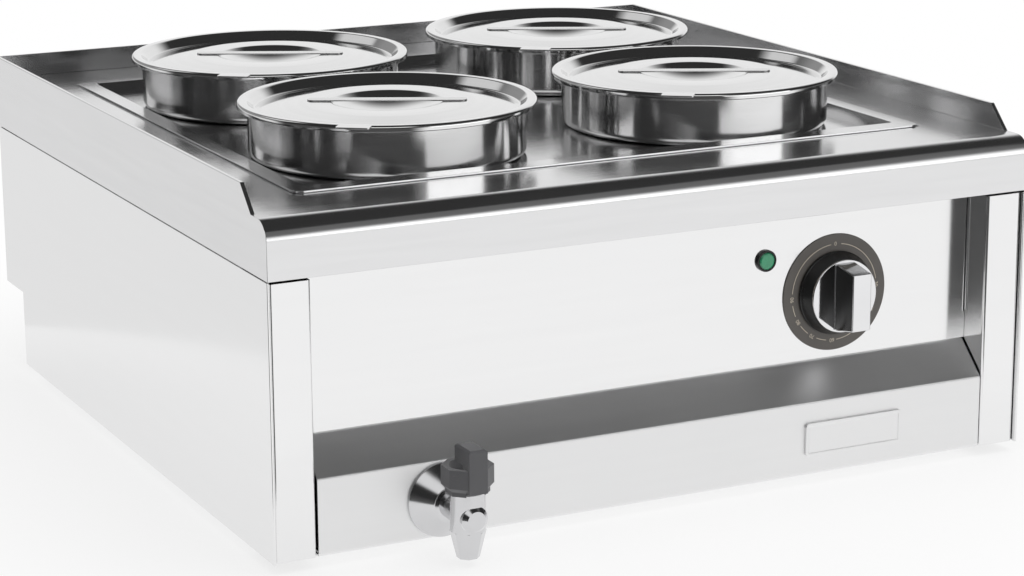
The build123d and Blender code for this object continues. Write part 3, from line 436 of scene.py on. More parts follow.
def object_place(tree):
    """Output with the place on the object."""
    return add_node(tree, "TexCoord").outputs["Object"]


def noise(tree, place, scale, detail, **more):
    """Output of a noise texture."""
    values = {"Vector": place, "Scale": scale, "Detail": detail, **more}
    return add_node(tree, "TexNoise", values).outputs[0]


def shared_group(name, inputs, outputs, fill):
    """A shader group with named sockets, made once; fill() gives what its outputs show."""
    if name not in bpy.data.node_groups:
        tree = bpy.data.node_groups.new(name, "ShaderNodeTree")
        sockets = tree.interface
        for socket, kind, default in inputs:
            made = sockets.new_socket(socket, in_out="INPUT", socket_type="NodeSocket" + kind)
            made.default_value = default
        for socket in outputs:
            sockets.new_socket(socket, in_out="OUTPUT", socket_type="NodeSocketFloat")
        given = tree.nodes.new("NodeGroupInput").outputs
        result = tree.nodes.new("NodeGroupOutput").inputs
        for socket, value in zip(outputs, fill(tree, given)):
            tree.links.new(value, result[socket])
    return bpy.data.node_groups[name]


def brushed_grain():
    """Group: straight brushing that runs along X, and along Y on faces that look sideways."""
    def fill(tree, given):
        place = object_place(tree)
        normal = add_node(tree, "NewGeometry").outputs["True Normal"]
        sideways = add_node(tree, "SeparateXYZ", {0: normal}).outputs[0]
        sideways = math_node(tree, "GREATER_THAN", math_node(tree, "ABSOLUTE", sideways), 0.7)
        along = given["Long"]
        for coarse in (1.0, 0.1):
            across = times(tree, given["Fine"], coarse)
            front = add_node(tree, "CombineXYZ", {0: along, 1: across, 2: across}).outputs[0]
            side = add_node(tree, "CombineXYZ", {0: across, 1: along, 2: across}).outputs[0]
            stretch = add_node(tree, "Mix", {0: sideways, 4: front, 5: side}, data_type="VECTOR")
            spot = vector_node(tree, "MULTIPLY", place, stretch.outputs[1])
            yield noise(tree, spot, 1.0, 2.0)

    inputs = (("Fine", "Float", 1500.0), ("Long", "Float", 9.0))
    return shared_group("Brushed grain", inputs, ("Height", "Streak"), fill)


def handling_marks():
    """Group: soft smudges, as from wiping and handling."""
    def fill(tree, given):
        smudge = noise(tree, object_place(tree), given["Size"], 4.0, Distortion=0.6)
        yield ramp(tree, smudge, 0.35, 0.7)

    return shared_group("Handling marks", (("Size", "Float", 14.0),), ("Smudge",), fill)


def turned_rings():
    """Group: fine rings about an upright axis, as from spinning or polishing on a lathe."""
    def fill(tree, given):
        out = vector_node(tree, "SUBTRACT", object_place(tree), given["Middle"])
        radius = vector_node(tree, "LENGTH", vector_node(tree, "MULTIPLY", out, (1.0, 1.0, 0.0)))
        level = add_node(tree, "SeparateXYZ", {0: out}).outputs[2]
        ring = times(tree, math_node(tree, "ADD", radius, level), given["Fine"])
        for coarse in (1.0, 0.12):
            spot = times(tree, ring, coarse)
            values = {"W": spot, "Scale": 1.0, "Detail": 2.0}
            yield add_node(tree, "TexNoise", values, noise_dimensions="1D").outputs[0]

    inputs = (("Middle", "Vector", (0.0, 0.0, 0.0)), ("Fine", "Float", 1200.0))
    return shared_group("Turned rings", inputs, ("Height", "Streak"), fill)


def moulded_skin():
    """Group: the fine spark texture and slight mottle of moulded plastic or rubber."""
    def fill(tree, given):
        place = object_place(tree)
        yield noise(tree, place, given["Fine"], 2.0)
        yield noise(tree, place, 60.0, 3.0)

    return shared_group("Moulded skin", (("Fine", "Float", 2200.0),), ("Height", "Mottle"), fill)


def new_finish(name):
    """An empty material with its Principled shader."""
    material = bpy.data.materials.new(name)
    material.use_nodes = True
    return material, material.node_tree, material.node_tree.nodes["Principled BSDF"]


def bump(tree, shader, height, depth, strength=1.0):
    """Feed a height into the shader's normal, with its depth in millimetres."""
    values = {"Height": height, "Distance": depth * MM, "Strength": strength}
    tree.links.new(add_node(tree, "Bump", values).outputs[0], shader.inputs["Normal"])


def shade(tree, shader, tint, mask, low, high):
    """Base colour that varies between two shades of one tint by a mask."""
    dark = tuple(part * low for part in tint) + (1.0,)
    light = tuple(min(part * high, 1.0) for part in tint) + (1.0,)
    mix = add_node(tree, "Mix", {0: mask, 6: dark, 7: light}, data_type="RGBA")
    tree.links.new(mix.outputs[2], shader.inputs["Base Color"])


def wear(tree, shader, first, second, roughness, spread):
    """Roughness that varies by the sum of two masks with their shares."""
    parts = (times(tree, mask, part) for mask, part in (first, second))
    mask = math_node(tree, "ADD", *parts)
    rough = ramp(tree, mask, 0.0, 1.0, roughness - spread, roughness + spread)
    tree.links.new(rough, shader.inputs["Roughness"])


def metal(name, tint, roughness, group, values, depth, spread=0.05, vary=0.04):
    """Metal with a grain group, roughness that follows streaks and smudges, and a fine bump."""
    material, tree, shader = new_finish(name)
    grain = add_node(tree, "Group", values, node_tree=group).outputs
    marks = add_node(tree, "Group", {"Size": 11.0}, node_tree=handling_marks()).outputs
    shader.inputs["Metallic"].default_value = 1.0
    wear(tree, shader, (grain["Streak"], 0.65), (marks["Smudge"], 0.35), roughness, spread)
    shade(tree, shader, tint, grain["Streak"], 1 - vary, 1 + vary)
    bump(tree, shader, grain["Height"], depth)
    return material


def plastic(name, tint, roughness, fine=2200.0, depth=0.02):
    """Moulded plastic, rubber or paint with a spark texture."""
    material, tree, shader = new_finish(name)
    skin = add_node(tree, "Group", {"Fine": fine}, node_tree=moulded_skin()).outputs
    marks = add_node(tree, "Group", {"Size": 30.0}, node_tree=handling_marks()).outputs
    wear(tree, shader, (skin["Mottle"], 0.5), (marks["Smudge"], 0.5), roughness, 0.06)
    shade(tree, shader, tint, skin["Mottle"], 0.88, 1.12)
    bump(tree, shader, skin["Height"], depth)
    return material


def lamp_glass(name, tint, middle):
    """Green lens with painted shade, paler in the middle and darker towards its rim by the ring,
    with a pebbled inside.
    """
    material, tree, shader = new_finish(name)
    place = object_place(tree)
    out = vector_node(tree, "SUBTRACT", place, middle)
    radius = vector_node(tree, "LENGTH", vector_node(tree, "MULTIPLY", out, (1.0, 0.0, 1.0)))
    # Painted shade: the lens is paler in the middle and darker towards its rim by the ring
    painted_rim_shade = ramp(tree, radius, 5.0 * MM, 6.6 * MM, 0.7, 0.05)
    pebbles = add_node(tree, "TexVoronoi", {"Vector": place, "Scale": 900.0}).outputs["Distance"]
    mask = math_node(tree, "ADD", ramp(tree, pebbles, 0.0, 1.0, 0.3, 0.0), painted_rim_shade)
    shade(tree, shader, tint, mask, 0.12, 1.35)
    for socket, value in (("Roughness", 0.16), ("Coat Weight", 0.6), ("Coat Roughness", 0.05)):
        shader.inputs[socket].default_value = value
    bump(tree, shader, pebbles, 0.15, 0.5)
    return material


def drawn_upright(material):
    """Brush a pot's wall round its axis, which draws its reflections upright."""
    tree = material.node_tree
    shader = tree.nodes["Principled BSDF"]
    shader.inputs["Anisotropic"].default_value = 0.9
    shader.inputs["Anisotropic Rotation"].default_value = 0.25
    around = add_node(tree, "Tangent", direction_type="RADIAL", axis="Z")
    tree.links.new(around.outputs[0], shader.inputs["Tangent"])
    return material


def finish_of(slot, place=""):
    """A finish by its slot or use, made once; polish runs round the pot at a place."""
    name = f"finish_{slot}_{place}" if place else f"finish_{slot}"
    if name in bpy.data.materials:
        return bpy.data.materials[name]
    sheet, pots, controls = settings("sheet"), settings("pots"), settings("controls")
    grain, rings = brushed_grain(), turned_rings()
    fine, polish = {"Fine": sheet.grain}, {"Fine": 900.0}
    if place:
        polish["Middle"] = middle_of("pot_" + place)
    # Colour, roughness, grain, its values and depth in millimetres, spread of roughness and shade
    metals = {
        "body_steel": (sheet.tint, sheet.roughness, grain, fine, 0.004),
        "front_sheet": (sheet.front_tint, sheet.front_roughness, grain, fine, 0.002, 0.03, 0.015),
        "rail_sheet": (sheet.front_tint, sheet.rail_roughness, grain, fine, 0.002, 0.03, 0.015),
        "strap_sheet": (pots.tint, 0.26, grain, {"Fine": 1200.0}, 0.002, 0.04, 0.02),
        "pot_steel": (pots.tint, 0.145, rings, polish, 0.001, 0.03),
        "lid_steel": (pots.tint, 0.085, rings, polish, 0.001, 0.03),
        "tank_steel": ((0.62, 0.625, 0.63), 0.3, grain, {"Fine": 900.0, "Long": 30.0}, 0.01),
        "plain_steel": ((0.58, 0.585, 0.59), 0.28, rings, {"Fine": 2500.0}, 0.01),
        "element_steel": ((0.20, 0.19, 0.185), 0.42, grain, {"Fine": 500.0}, 0.02, 0.1),
        "brass": ((0.70, 0.53, 0.27), 0.26, rings, {"Fine": 1800.0}, 0.01),
        "knob_chrome": ((0.80, 0.80, 0.81), 0.07, grain, {"Fine": 300.0}, 0.0005, 0.02),
        "tap_chrome": ((0.66, 0.66, 0.67), 0.14, grain, {"Fine": 260.0, "Long": 120.0}, 0.001,
                       0.04),
    }
    # Colour and roughness, fineness and depth of the skin in millimetres
    plastics = {
        "rubber": ((0.02, 0.02, 0.02), 0.72, 900.0, 0.05),
        "black_plastic": (controls.knob_colour, 0.3),
        "tap_plastic": (controls.tap_colour, 0.42, 1600.0, 0.03),
        "case_plastic": ((0.66, 0.62, 0.52), 0.45),
        "pipe_plastic": ((0.34, 0.345, 0.35), 0.4),
        "dial_grey": (controls.dial_colour, 0.42, 1800.0, 0.01),
        "dial_print": (controls.print_colour, 0.5),
    }
    if slot in plastics:
        return plastic(name, *plastics[slot])
    if slot in metals:
        material = metal(name, *metals[slot])
        return drawn_upright(material) if slot == "pot_steel" else material
    return lamp_glass(name, controls.lamp_colour, middle_of("lamp_lens"))


class BAINMARIE_OT_sheets(Operator):
    """Copy the worktop, plate, panels, posts and rail from their nodes with rounded edges"""

    bl_idname = "bainmarie.sheets"
    bl_label = "Folded sheets"

    def execute(self, context):
        sheet = settings("sheet")
        for node in FORMED_SHEETS:
            piece = formed(node, sheet.edge)
            low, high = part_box(node)
            if node.endswith("_post"):
                self.widen(piece, min(low.x, high.x, key=abs), sheet.post_reach)
            elif node == "bottom_rail":
                self.widen(piece, 0, 2 * sheet.rail_reach)
            fit(piece, node, finish_of(SHEET_FINISHES.get(node, "front_sheet")))
        return {"FINISHED"}

    def widen(self, piece, fixed, reach):
        """Make a sheet wider by a reach about a fixed place, to close the gap beside it."""
        wider = 1 + reach / piece.dimensions.x
        select_where(piece, "FACE", lambda *_: True)
        bpy.ops.transform.resize(value=(wider, 1, 1), center_override=(fixed, 0, 0))
        deselect()


class BAINMARIE_OT_badge(Operator):
    """Model the bare raised plate on the rail"""

    bl_idname = "bainmarie.badge"
    bl_label = "Raised plate"

    def execute(self, context):
        low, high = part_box("badge_plate")
        corner, border, step_wide, step_deep = 3 * MM, 2.2 * MM, 0.5 * MM, 0.4 * MM
        piece = block("raised_plate", (low + high) / 2, high - low)
        round_corners(piece, lambda first, second: abs((first - second).y) > 1 * MM, corner, 6)
        select_where(piece, "FACE", to_the_front)
        bpy.ops.mesh.inset(thickness=border)
        bpy.ops.mesh.inset(thickness=step_wide, depth=-step_deep)
        soften(piece, 0.3 * MM)
        fit(level_faces(settle(piece)), "badge_plate", finish_of("rail_sheet"))
        return {"FINISHED"}


class BAINMARIE_OT_pots(Operator):
    """Turn the four pots with their shoulders, flared mouths and rolled rims"""

    bl_idname = "bainmarie.pots"
    bl_label = "Pots"

    def execute(self, context):
        pots = settings("pots")
        low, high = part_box("pot_front_left")
        rim = (high.x - low.x) / 2
        bowl, body, sheet = rim - pots.rim, pots.body_radius, pots.sheet
        base, top = low.z, high.z
        seat, flare, roll_foot = top - pots.rise, top - pots.flare, top - 2.8 * MM
        mouth = bowl - sheet + pots.flare
        spread = sheet * math.tan(math.pi / 8)
        roll = rim - pots.bead
        under = flare - spread + roll - bowl
        # Up the outside, over the rim and down the inside
        corners = (
            (0, base, 0), (body, base, pots.foot), (body, seat, 1.5 * MM),
            (bowl, seat, pots.shoulder), (bowl, flare - spread, 3 * MM), (roll, under, 0.3 * MM),
            (roll, roll_foot, 0.3 * MM), (rim, roll_foot, 1.1 * MM), (rim, top, 1.1 * MM),
            (mouth, top, 1.8 * MM), (bowl - sheet, flare, 3 * MM),
            (bowl - sheet, seat + sheet, pots.shoulder - sheet),
            (body - sheet, seat + sheet, 2 * MM), (body - sheet, base + sheet, pots.foot - sheet),
            (0, base + sheet, 0),
        )
        middle = middle_of("pot_front_left")
        middle.z = 0
        first = spun("pot_turned_front_left", corners, middle, UP, pots.steps)
        at_each_pot(first, "pot_turned", "pot", lambda place: finish_of("pot_steel", place))
        return {"FINISHED"}


class BAINMARIE_OT_lids(Operator):
    """Turn the four lids with their lips, grooves, dished tops and finger wells"""

    bl_idname = "bainmarie.lids"
    bl_label = "Lids"

    def execute(self, context):
        pots = settings("pots")
        low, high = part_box("lid_front_left")
        edge = (high.x - low.x) / 2
        top, sheet, well = high.z, pots.sheet, pots.well_radius
        rim, groove, land = top - sheet, top - pots.channel, top - pots.land_drop
        lip = rim - pots.lip
        wall = edge - pots.lid_rim
        foot = wall - pots.wall_run
        dish = foot - pots.channel_width
        step = well + pots.land
        slope = math.hypot(pots.wall_run, pots.channel)
        spread = sheet * (slope - pots.wall_run) / pots.channel
        # Out over the top, down the lip and back underneath
        corners = (
            *self.dish(land), (well, land, 3.5 * MM), (step, land, 25 * MM), (dish, groove, 4 * MM),
            (foot, groove, 2.2 * MM), (wall, top, 2.2 * MM), (edge, top, 2.2 * MM),
            (edge, lip, 0.5 * MM), (edge - sheet, lip, 0.5 * MM), (edge - sheet, rim, 1 * MM),
            (wall + spread, rim, 1.2 * MM), (foot + spread, groove - sheet, 2.5 * MM),
            (dish, groove - sheet, 3 * MM), (step, land - sheet, 25 * MM),
            (well, land - sheet, 2.5 * MM), *reversed(self.dish(land - sheet)),
        )
        middle = middle_of("lid_front_left")
        middle.z = 0
        first = spun("lid_turned_front_left", corners, middle, UP, pots.steps)
        first = self.tab(first, middle, top, edge)
        at_each_pot(first, "lid_turned", "lid", lambda place: finish_of("lid_steel", place))
        return {"FINISHED"}

    def dish(self, level, steps=10):
        """Points of the finger well's round dish, from its middle outwards."""
        wide, deep = settings("pots").well_radius, settings("pots").well
        ball = (wide ** 2 + deep ** 2) / (2 * deep)
        radii = [wide * step / steps for step in range(steps)]
        return [(radius, level - deep + ball - math.sqrt(ball ** 2 - radius ** 2), 0)
                for radius in radii]

    def tab(self, lid, middle, top, edge):
        """A lid with a short flat tab standing out from its rim."""
        pots = settings("pots")
        root, corner, sunk = 2.4 * MM, 2 * MM, 0.02 * MM
        tab = block("tab", ((pots.tab - root) / 2, 0, -pots.sheet / 2),
                    (pots.tab + root, pots.tab_wide, pots.sheet))

        def upright_outside(first, second):
            return min(first.x, second.x) > 0 and abs((first - second).z) > 1 * MM

        round_corners(tab, upright_outside, corner, 5)
        level_faces(settle(soften(tab, 0.25 * MM)))
        out = Vector((math.cos(pots.tab_angle), math.sin(pots.tab_angle), 0))
        tab.rotation_euler = (0, 0, pots.tab_angle)
        tab.location = middle + out * edge + UP * (top - sunk)
        return joined(lid.name, lid, settle(tab))


class BAINMARIE_OT_straps(Operator):
    """Model the four strap handles with rounded ends"""

    bl_idname = "bainmarie.straps"
    bl_label = "Strap handles"

    def execute(self, context):
        pots = settings("pots")
        low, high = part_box("lid_handle_front_left")
        thick, corner = pots.strap_thick, 5 * MM
        strap = block("strap_front_left", (0, 0, 0), (pots.strap_long, pots.strap_wide, thick))
        round_corners(strap, lambda first, second: abs((first - second).z) > thick / 2, corner, 8)
        level_faces(settle(soften(strap, 0.3 * MM, 3, 60)))
        strap.rotation_euler = (0, 0, pots.strap_angle)
        strap.location = (low + high) / 2
        strap.location.z = low.z + thick / 2
        at_each_pot(settle(strap), "strap", "lid_handle", lambda place: finish_of("strap_sheet"))
        return {"FINISHED"}


class BAINMARIE_OT_knob(Operator):
    """Turn the knob's skirt and model its bright face and bar grip"""

    bl_idname = "bainmarie.knob"
    bl_label = "Knob"

    def execute(self, context):
        controls = settings("controls")
        middle, wide, tall = round_on_front("knob_skirt")
        low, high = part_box("knob_cap")
        face, thick = (high.x - low.x) / 2, controls.face_thick
        bore, roof = 3.2 * MM, tall - 1 * MM
        corners = (
            (bore, 0, 0), (wide, 0, 0.5 * MM), (wide, 2 * MM, 0.6 * MM),
            (wide - 0.7 * MM, 2.6 * MM, 0.4 * MM), (face + 0.5 * MM, tall - 0.8 * MM, 0.4 * MM),
            (face, tall, 0.4 * MM), (0, tall, 0), (0, roof, 0), (bore, roof, 0), (bore, 0, 0),
        )
        skirt = spun("knob_skirt_turned", corners, middle, FRONT, steps=72)
        fit(skirt, "knob_skirt", finish_of("black_plastic"))
        middle.y = high.y
        corners = ((0, 0, 0), (face, 0, 0.2 * MM), (face, thick, 0.6 * MM), (0, thick, 0))
        disc = spun("knob_face", corners, middle, FRONT, steps=72)
        deep = high.y - low.y - thick / 2
        grip = block("bar", (middle.x, low.y + deep / 2, middle.z),
                     (controls.grip_wide, deep, controls.grip_long))
        select_where(grip, "FACE", to_the_front)
        bpy.ops.transform.resize(value=(1, 1, controls.grip_face / controls.grip_long),
                                 center_override=(middle.x, low.y, middle.z))
        # Black plates on the bar's sides: a painted reflection of the dark that the chrome sides
        # mirror
        cheeks = self.cheeks(grip)
        soften(grip, 0.8 * MM, 3)
        cap = level_faces(joined("knob_cap_and_grip", disc, grip, self.foot(middle, thick)))
        fit(cap, "knob_cap", finish_of("knob_chrome"))
        fit(cheeks, "knob_cap", finish_of("black_plastic"), stands_for=False)
        return {"FINISHED"}

    def foot(self, middle, rise):
        """A low step round the bar where it meets the face."""
        controls = settings("controls")
        both_sides, shorter = 2 * controls.grip_foot, 2 * MM
        foot = block("bar_foot", middle + FRONT * rise,
                     (controls.grip_wide + both_sides, both_sides, controls.grip_long - shorter))
        select_where(foot, "FACE", to_the_front)
        bpy.ops.mesh.inset(thickness=0.1 * MM)
        return settle(soften(foot, 0.15 * MM))

    def cheeks(self, grip):
        """Thin black plates let into both sides of the bar, a painted reflection: they stand in for
        the dark that the bar's chrome sides mirror.
        """
        margin, thick = 0.9 * MM, 0.5 * MM
        select_where(grip, "FACE", lambda centre, normal: abs(normal.x) > FACING)
        bpy.ops.mesh.duplicate()
        bpy.ops.mesh.separate(type="SELECTED")
        bpy.ops.object.mode_set(mode="OBJECT")
        plates = next(item for item in bpy.context.selected_objects if item is not grip)
        plates.name = "knob_bar_cheeks"
        select_where(plates, "FACE", lambda *_: True)
        bpy.ops.mesh.inset(thickness=margin, use_individual=True)
        bpy.ops.mesh.select_all(action="INVERT")
        bpy.ops.mesh.delete(type="FACE")
        modified(plates, "SOLIDIFY", thickness=thick, offset=0)
        return settle(soften(plates, 0.15 * MM))


class BAINMARIE_OT_dial(Operator):
    """Turn the dial plate and print its ring and figures"""

    bl_idname = "bainmarie.dial"
    bl_label = "Dial"

    def execute(self, context):
        controls = settings("controls")
        middle, wide, thick = round_on_front("dial_plate")
        hole = 5.1 * MM
        corners = ((hole, 0, 0), (wide, 0, 0.1 * MM), (wide, thick, 0.35 * MM), (hole, thick, 0),
                   (hole, 0, 0))
        plate = spun("dial_plate_turned", corners, middle, FRONT, steps=96)
        fit(plate, "dial_plate", finish_of("dial_grey"))
        inner = controls.ring_radius - controls.ring_width / 2
        flat = ((inner, thick, 0), (inner + controls.ring_width, thick, 0))
        ring = spun("dial_ring_print", flat, middle, FRONT, steps=180)
        gap = 7

        def by_a_figure(centre, normal):
            out = centre - middle
            turn = math.degrees(math.atan2(out.x, out.z)) % 360
            return any(abs((turn - mark + 180) % 360 - 180) < gap for _, mark in DIAL_MARKS)

        select_where(ring, "FACE", by_a_figure)
        bpy.ops.mesh.delete(type="FACE")
        modified(ring, "SOLIDIFY", thickness=controls.ink, offset=0)
        figures = [self.figure(words, math.radians(mark), middle + FRONT * thick)
                   for words, mark in DIAL_MARKS]
        ring = joined("dial_print", ring, *figures)
        fit(ring, "dial_plate", finish_of("dial_print"), stands_for=False)
        return {"FINISHED"}

    def figure(self, words, turn, middle):
        """A printed figure that stands across the ring at a turn from the top."""
        controls = settings("controls")
        text = added("figure", bpy.ops.object.text_add).data
        text.body, text.size, text.extrude = words, controls.figure, controls.ink / 2
        text.align_x = text.align_y = "CENTER"
        bpy.ops.object.convert(target="MESH")
        figure = bpy.context.active_object
        out = Vector((math.sin(turn), 0, math.cos(turn))) * controls.ring_radius
        figure.matrix_world = (Matrix.Translation(middle + out) @ Matrix.Rotation(turn, 4, "Y")
                               @ Matrix.Rotation(math.pi / 2, 4, "X"))
        bpy.ops.object.transform_apply()
        return figure


class BAINMARIE_OT_lamp(Operator):
    """Turn the lamp's ring and its domed lens"""

    bl_idname = "bainmarie.lamp"
    bl_label = "Lamp"

    def execute(self, context):
        middle, wide, proud = round_on_front("lamp_bezel")
        hole, slimmer = 6.5 * MM, 0.8 * MM
        wide -= slimmer
        corners = ((hole, 0, 0), (wide, 0, 0), (wide, proud, 0.9 * MM), (hole, proud, 0.5 * MM),
                   (hole, 0, 0))
        ring = spun("lamp_ring_turned", corners, middle, FRONT, steps=64)
        fit(ring, "lamp_bezel", finish_of("black_plastic"))
        _, wide, proud = round_on_front("lamp_lens")
        corners = ((0, 0, 0), (wide, 0, 0), (wide, proud - 1.2 * MM, 0.5 * MM),
                   (wide - 1.3 * MM, proud - 0.3 * MM, 1 * MM), (0, proud, 0))
        lens = spun("lamp_lens_turned", corners, middle, FRONT, steps=64)
        fit(lens, "lamp_lens", finish_of("lamp_green"))
        return {"FINISHED"}


class BAINMARIE_OT_tap(Operator):
    """Turn the tap's flange and round the edges of its body, bonnet and lever"""

    bl_idname = "bainmarie.tap"
    bl_label = "Drain tap"

    def execute(self, context):
        middle, wide, proud = round_on_front("tap_flange")
        hole, nose, rim = 8.5 * MM, 13 * MM, 2 * MM
        corners = ((hole, 0, 0), (wide, 0, 0.3 * MM), (wide, rim, 1 * MM), (nose, proud, 1 * MM),
                   (hole, proud, 0), (hole, 0, 0))
        flange = spun("tap_flange_turned", corners, middle, FRONT, steps=80)
        fit(flange, "tap_flange", finish_of("tap_chrome"))
        edge = settings("controls").edge
        for node, width in (("tap_body", edge), ("tap_bonnet", edge), ("tap_lever", edge / 4)):
            piece = fit(formed(node, width), node, finish_of(SLOT_OF[node]))
            piece.visible_glossy = False
        for node in ("tap_stem", "tap_stem_pin", "tap_spring", "tap_lever_pin"):
            frame["nodes"][node].visible_glossy = False
        return {"FINISHED"}


class BAINMARIE_OT_screws(Operator):
    """Model the pan-head screws that hold the rear panel"""

    bl_idname = "bainmarie.screws"
    bl_label = "Rear screws"

    def execute(self, context):
        low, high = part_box("rear_panel")
        radius, shank, root, tall = settings("sheet").screw_radius, 1.8 * MM, -1 * MM, 2.4 * MM
        corners = ((0, root, 0), (shank, root, 0), (shank, 0, 0), (radius, 0, 0.2 * MM),
                   (radius, 1 * MM, 0.6 * MM), (radius * 0.6, 2.2 * MM, 1 * MM), (0, tall, 0))
        head = spun("rear_screw", corners, Vector((0, 0, 0)), BACK, steps=32)
        socket_wide, socket_deep = 1.6 * MM, 1 * MM

        def at_the_socket(centre, normal):
            return normal.y > FACING and centre.xz.length < socket_wide

        select_where(head, "FACE", at_the_socket)
        bpy.ops.mesh.inset(thickness=0.2 * MM)
        bpy.ops.mesh.extrude_region_move(TRANSFORM_OT_translate={"value": FRONT * socket_deep})
        settle(head)
        inset, drop, rise = 0.014, 0.052, 0.094
        spots = [(x, z) for z in (high.z - drop, high.z - drop - rise)
                 for x in (low.x + inset, 0, high.x - inset)]
        for count, (x, z) in enumerate(spots, 1):
            screw = copied(head, f"rear_screw_{count}", Vector((x, high.y, z)))
            fit(screw, "rear_panel", finish_of("plain_steel"), stands_for=False)
        pick(head)
        bpy.ops.object.delete()
        return {"FINISHED"}


class BAINMARIE_OT_inside(Operator):
    """Give every node that still shows the finish of its slot"""

    bl_idname = "bainmarie.inside"
    bl_label = "Inner parts"

    def execute(self, context):
        for node, piece in frame["nodes"].items():
            if piece.hide_render:
                continue
            piece.data.materials.clear()
            piece.data.materials.append(finish_of(SLOT_OF[node]))
        return {"FINISHED"}


class BAINMARIE_OT_stage(Operator):
    """Lay the pale floor and set the soft lights and the camera"""

    bl_idname = "bainmarie.stage"
    bl_label = "Floor, lights and camera"

    def floor(self, values):
        """A wide pale floor, white away from the body."""
        near, far, shadow, mirrored = 0.40, 0.75, 0.78, 0.55
        piece = added("floor", bpy.ops.mesh.primitive_circle_add, vertices=96, radius=7,
                      fill_type="NGON")
        bpy.ops.object.mode_set(mode="EDIT")
        bpy.ops.mesh.inset(thickness=2)
        bpy.ops.object.mode_set(mode="OBJECT")
        material, tree, shader = new_finish("pale_floor")
        place = object_place(tree)
        shade(tree, shader, values.floor_colour, noise(tree, place, 3.0, 2.0), 0.99, 1.01)
        shader.inputs["Roughness"].default_value = 0.6
        camera, shiny = self.rays(tree)
        away = vector_node(tree, "LENGTH", place)
        fade = ramp(tree, away, near, far, shadow, 1.0, "SMOOTHSTEP")
        white = add_node(tree, "Emission", {"Color": (1, 1, 1, 1), "Strength": 1.0}).outputs[0]
        amount = times(tree, math_node(tree, "MAXIMUM", camera, shiny), fade)
        both = add_node(tree, "MixShader", {0: amount, 1: shader.outputs[0], 2: white}).outputs[0]
        open_to = times(tree, shiny, math_node(tree, "GREATER_THAN", away, mirrored))
        clear = add_node(tree, "BsdfTransparent").outputs[0]
        surface = add_node(tree, "MixShader", {0: open_to, 1: both, 2: clear}).outputs[0]
        tree.links.new(surface, tree.nodes["Material Output"].inputs["Surface"])
        piece.data.materials.append(material)

    def rays(self, tree):
        """Whether the camera sees a place, and whether shiny pieces do."""
        rays = add_node(tree, "LightPath").outputs
        shiny = math_node(tree, "MAXIMUM", rays["Is Glossy Ray"], rays["Is Transmission Ray"])
        return rays["Is Camera Ray"], shiny

    def panel(self, name, place, size, power, aim):
        """A soft rectangular light that looks at a point."""
        turn = (Vector(aim) - Vector(place)).to_track_quat("-Z", "Y").to_euler()
        lamp = added(name, bpy.ops.object.light_add, type="AREA", location=place, rotation=turn)
        lamp.data.shape = "RECTANGLE"
        lamp.data.size, lamp.data.size_y = size
        lamp.data.energy = power
        return lamp

    def lights(self, values):
        """An overhead light that shiny pieces don't mirror, and a softbox bright at its foot."""
        top = self.panel("top_panel", place=(0.3, -0.5, 2.6), size=(2.2, 2.2),
                         power=values.top_light, aim=(0, 0, 0))
        top.visible_glossy = False
        front = self.panel("front_softbox", place=(0.37, -0.85, 0.62), size=(0.95, 0.7),
                           power=values.softbox, aim=(0, -0.08, 0.25))
        front.visible_camera = False
        front.data.use_nodes = True
        tree = front.data.node_tree
        spot = add_node(tree, "NewGeometry").outputs["Parametric"]
        height = add_node(tree, "SeparateXYZ", {0: spot}).outputs[1]
        foot, end, bright, dim = 0.15, 0.5, 1.35, 0.1
        fall = ramp(tree, height, foot, end, bright, dim, "SMOOTHSTEP")
        tree.links.new(fall, tree.nodes["Emission"].inputs["Strength"])

    def sector(self, tree, flat, middle, half, level, soft):
        """A value round a compass direction that fades to nothing over its sides."""
        turn = math.radians(middle)
        facing = vector_node(tree, "DOT_PRODUCT", flat, (math.cos(turn), math.sin(turn), 0.0))
        outer, inner = math.cos(math.radians(half + soft)), math.cos(math.radians(half - soft))
        return ramp(tree, facing, outer, inner, 0.0, level, "SMOOTHSTEP")

    def surround(self, values):
        """White for the camera, even light for matt pieces, for metal a room dark overhead."""
        world = bpy.data.worlds.new("studio")
        world.use_nodes = True
        tree = world.node_tree
        towards = add_node(tree, "TexCoord").outputs["Generated"]
        height = add_node(tree, "SeparateXYZ", {0: towards}).outputs[2]
        flat = vector_node(tree, "MULTIPLY", towards, (1.0, 1.0, 0.0))
        flat = vector_node(tree, "NORMALIZE", flat)

        def climb(start, end, low, high, kind="LINEAR"):
            start, end = math.sin(math.radians(start)), math.sin(math.radians(end))
            return ramp(tree, height, start, end, low, high, kind)

        def brighter(first, second):
            return math_node(tree, "MAXIMUM", first, second)

        below, above, darkest = -0.03, 0.2, 0.03
        ground = ramp(tree, height, below, above, 1.0, 0.0, "SMOOTHSTEP")
        for side in DARK_SIDES:
            light = math_node(tree, "SUBTRACT", 1.0, self.sector(tree, flat, *side))
            ground = times(tree, ground, light)
        backdrop = times(tree, self.sector(tree, flat, *BACKDROP), values.backdrop)
        backdrop = brighter(backdrop, self.sector(tree, flat, *SIDE_GLOW))
        backdrop = times(tree, backdrop, climb(22, 50, 1.0, 0.0, "SMOOTHSTEP"))
        window = brighter(*(self.sector(tree, flat, *side) for side in WINDOWS))
        band = times(tree, climb(27, 33, 0.0, 1.0), climb(52, 58, 1.0, 0.0))
        window = times(tree, window, band)
        studio = brighter(brighter(brighter(ground, darkest), backdrop), window)
        camera, shiny = self.rays(tree)
        soft = add_node(tree, "Mix", {0: shiny, 2: values.ambient, 3: studio}).outputs[0]
        level = add_node(tree, "Mix", {0: camera, 2: soft, 3: 1.0}).outputs[0]
        background = tree.nodes["Background"].inputs
        tree.links.new(level, background["Strength"])
        background["Color"].default_value = (1, 1, 1, 1)
        bpy.context.scene.world = world

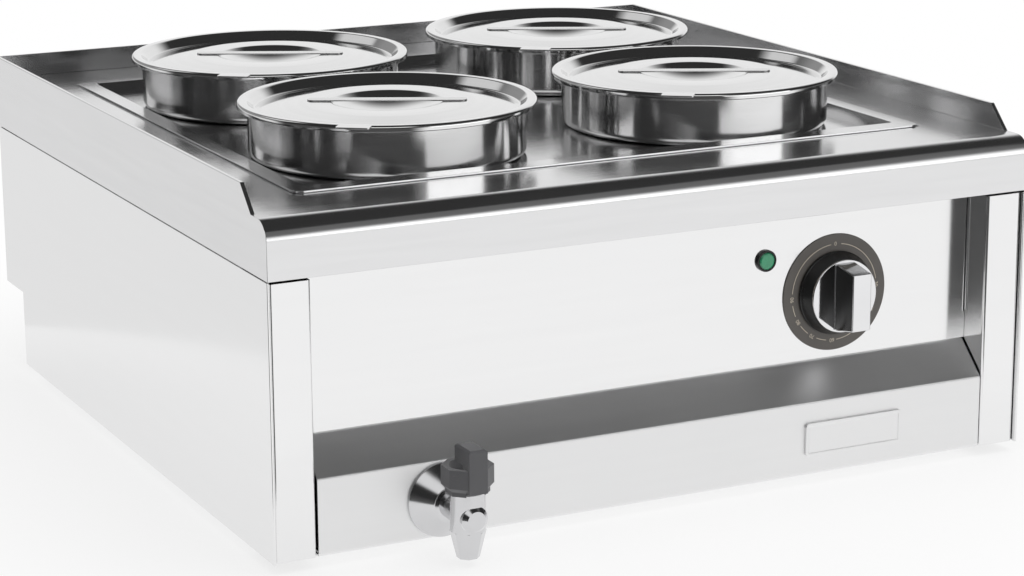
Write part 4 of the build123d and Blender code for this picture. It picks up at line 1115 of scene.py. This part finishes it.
    def camera(self, values):
        """The camera at the photograph's viewing angle."""
        ahead = Vector((0.4303, 0.8681, -0.2475)).normalized()
        right = Vector((0.8954, -0.4453, -0.0055)).normalized()
        turn = Matrix((right, right.cross(ahead), -ahead)).transposed().to_euler()
        camera = added("Camera", bpy.ops.object.camera_add, location=(-0.9460, -1.9329, 0.6508),
                       rotation=turn)
        camera.data.lens = values.lens
        camera.data.sensor_width = 36
        bpy.context.scene.camera = camera

    def execute(self, context):
        values = settings("stage")
        for step in (self.floor, self.lights, self.surround, self.camera):
            step(values)
        context.scene.view_settings.view_transform = "Standard"
        return {"FINISHED"}


OPERATORS = (
    BAINMARIE_OT_sheets, BAINMARIE_OT_badge, BAINMARIE_OT_pots, BAINMARIE_OT_lids,
    BAINMARIE_OT_straps, BAINMARIE_OT_knob, BAINMARIE_OT_dial, BAINMARIE_OT_lamp,
    BAINMARIE_OT_tap, BAINMARIE_OT_screws, BAINMARIE_OT_inside, BAINMARIE_OT_stage,
)


class BAINMARIE_PT_panel(Panel):
    """Sidebar panel that lists the bain marie's operators"""

    bl_label = "Bain marie"
    bl_idname = "BAINMARIE_PT_panel"
    bl_space_type = "VIEW_3D"
    bl_region_type = "UI"
    bl_category = "Bain marie"

    def draw(self, context):
        for operator in OPERATORS:
            self.layout.operator(operator.bl_idname)


GROUPS = {"sheet": SheetSettings, "pots": PotSettings, "controls": ControlSettings,
          "stage": StageSettings}


def register():
    for kind, group in GROUPS.items():
        bpy.utils.register_class(group)
        setattr(bpy.types.Scene, "bain_marie_" + kind, PointerProperty(type=group))
    for item in (*OPERATORS, BAINMARIE_PT_panel):
        bpy.utils.register_class(item)


def unregister():
    for item in reversed((*OPERATORS, BAINMARIE_PT_panel)):
        bpy.utils.unregister_class(item)
    for kind, group in GROUPS.items():
        delattr(bpy.types.Scene, "bain_marie_" + kind)
        bpy.utils.unregister_class(group)


def main():
    register()
    for operator in OPERATORS:
        getattr(bpy.ops.bainmarie, operator.bl_idname.split(".")[1])()
    deselect()


if __name__ == "__main__":
    main()
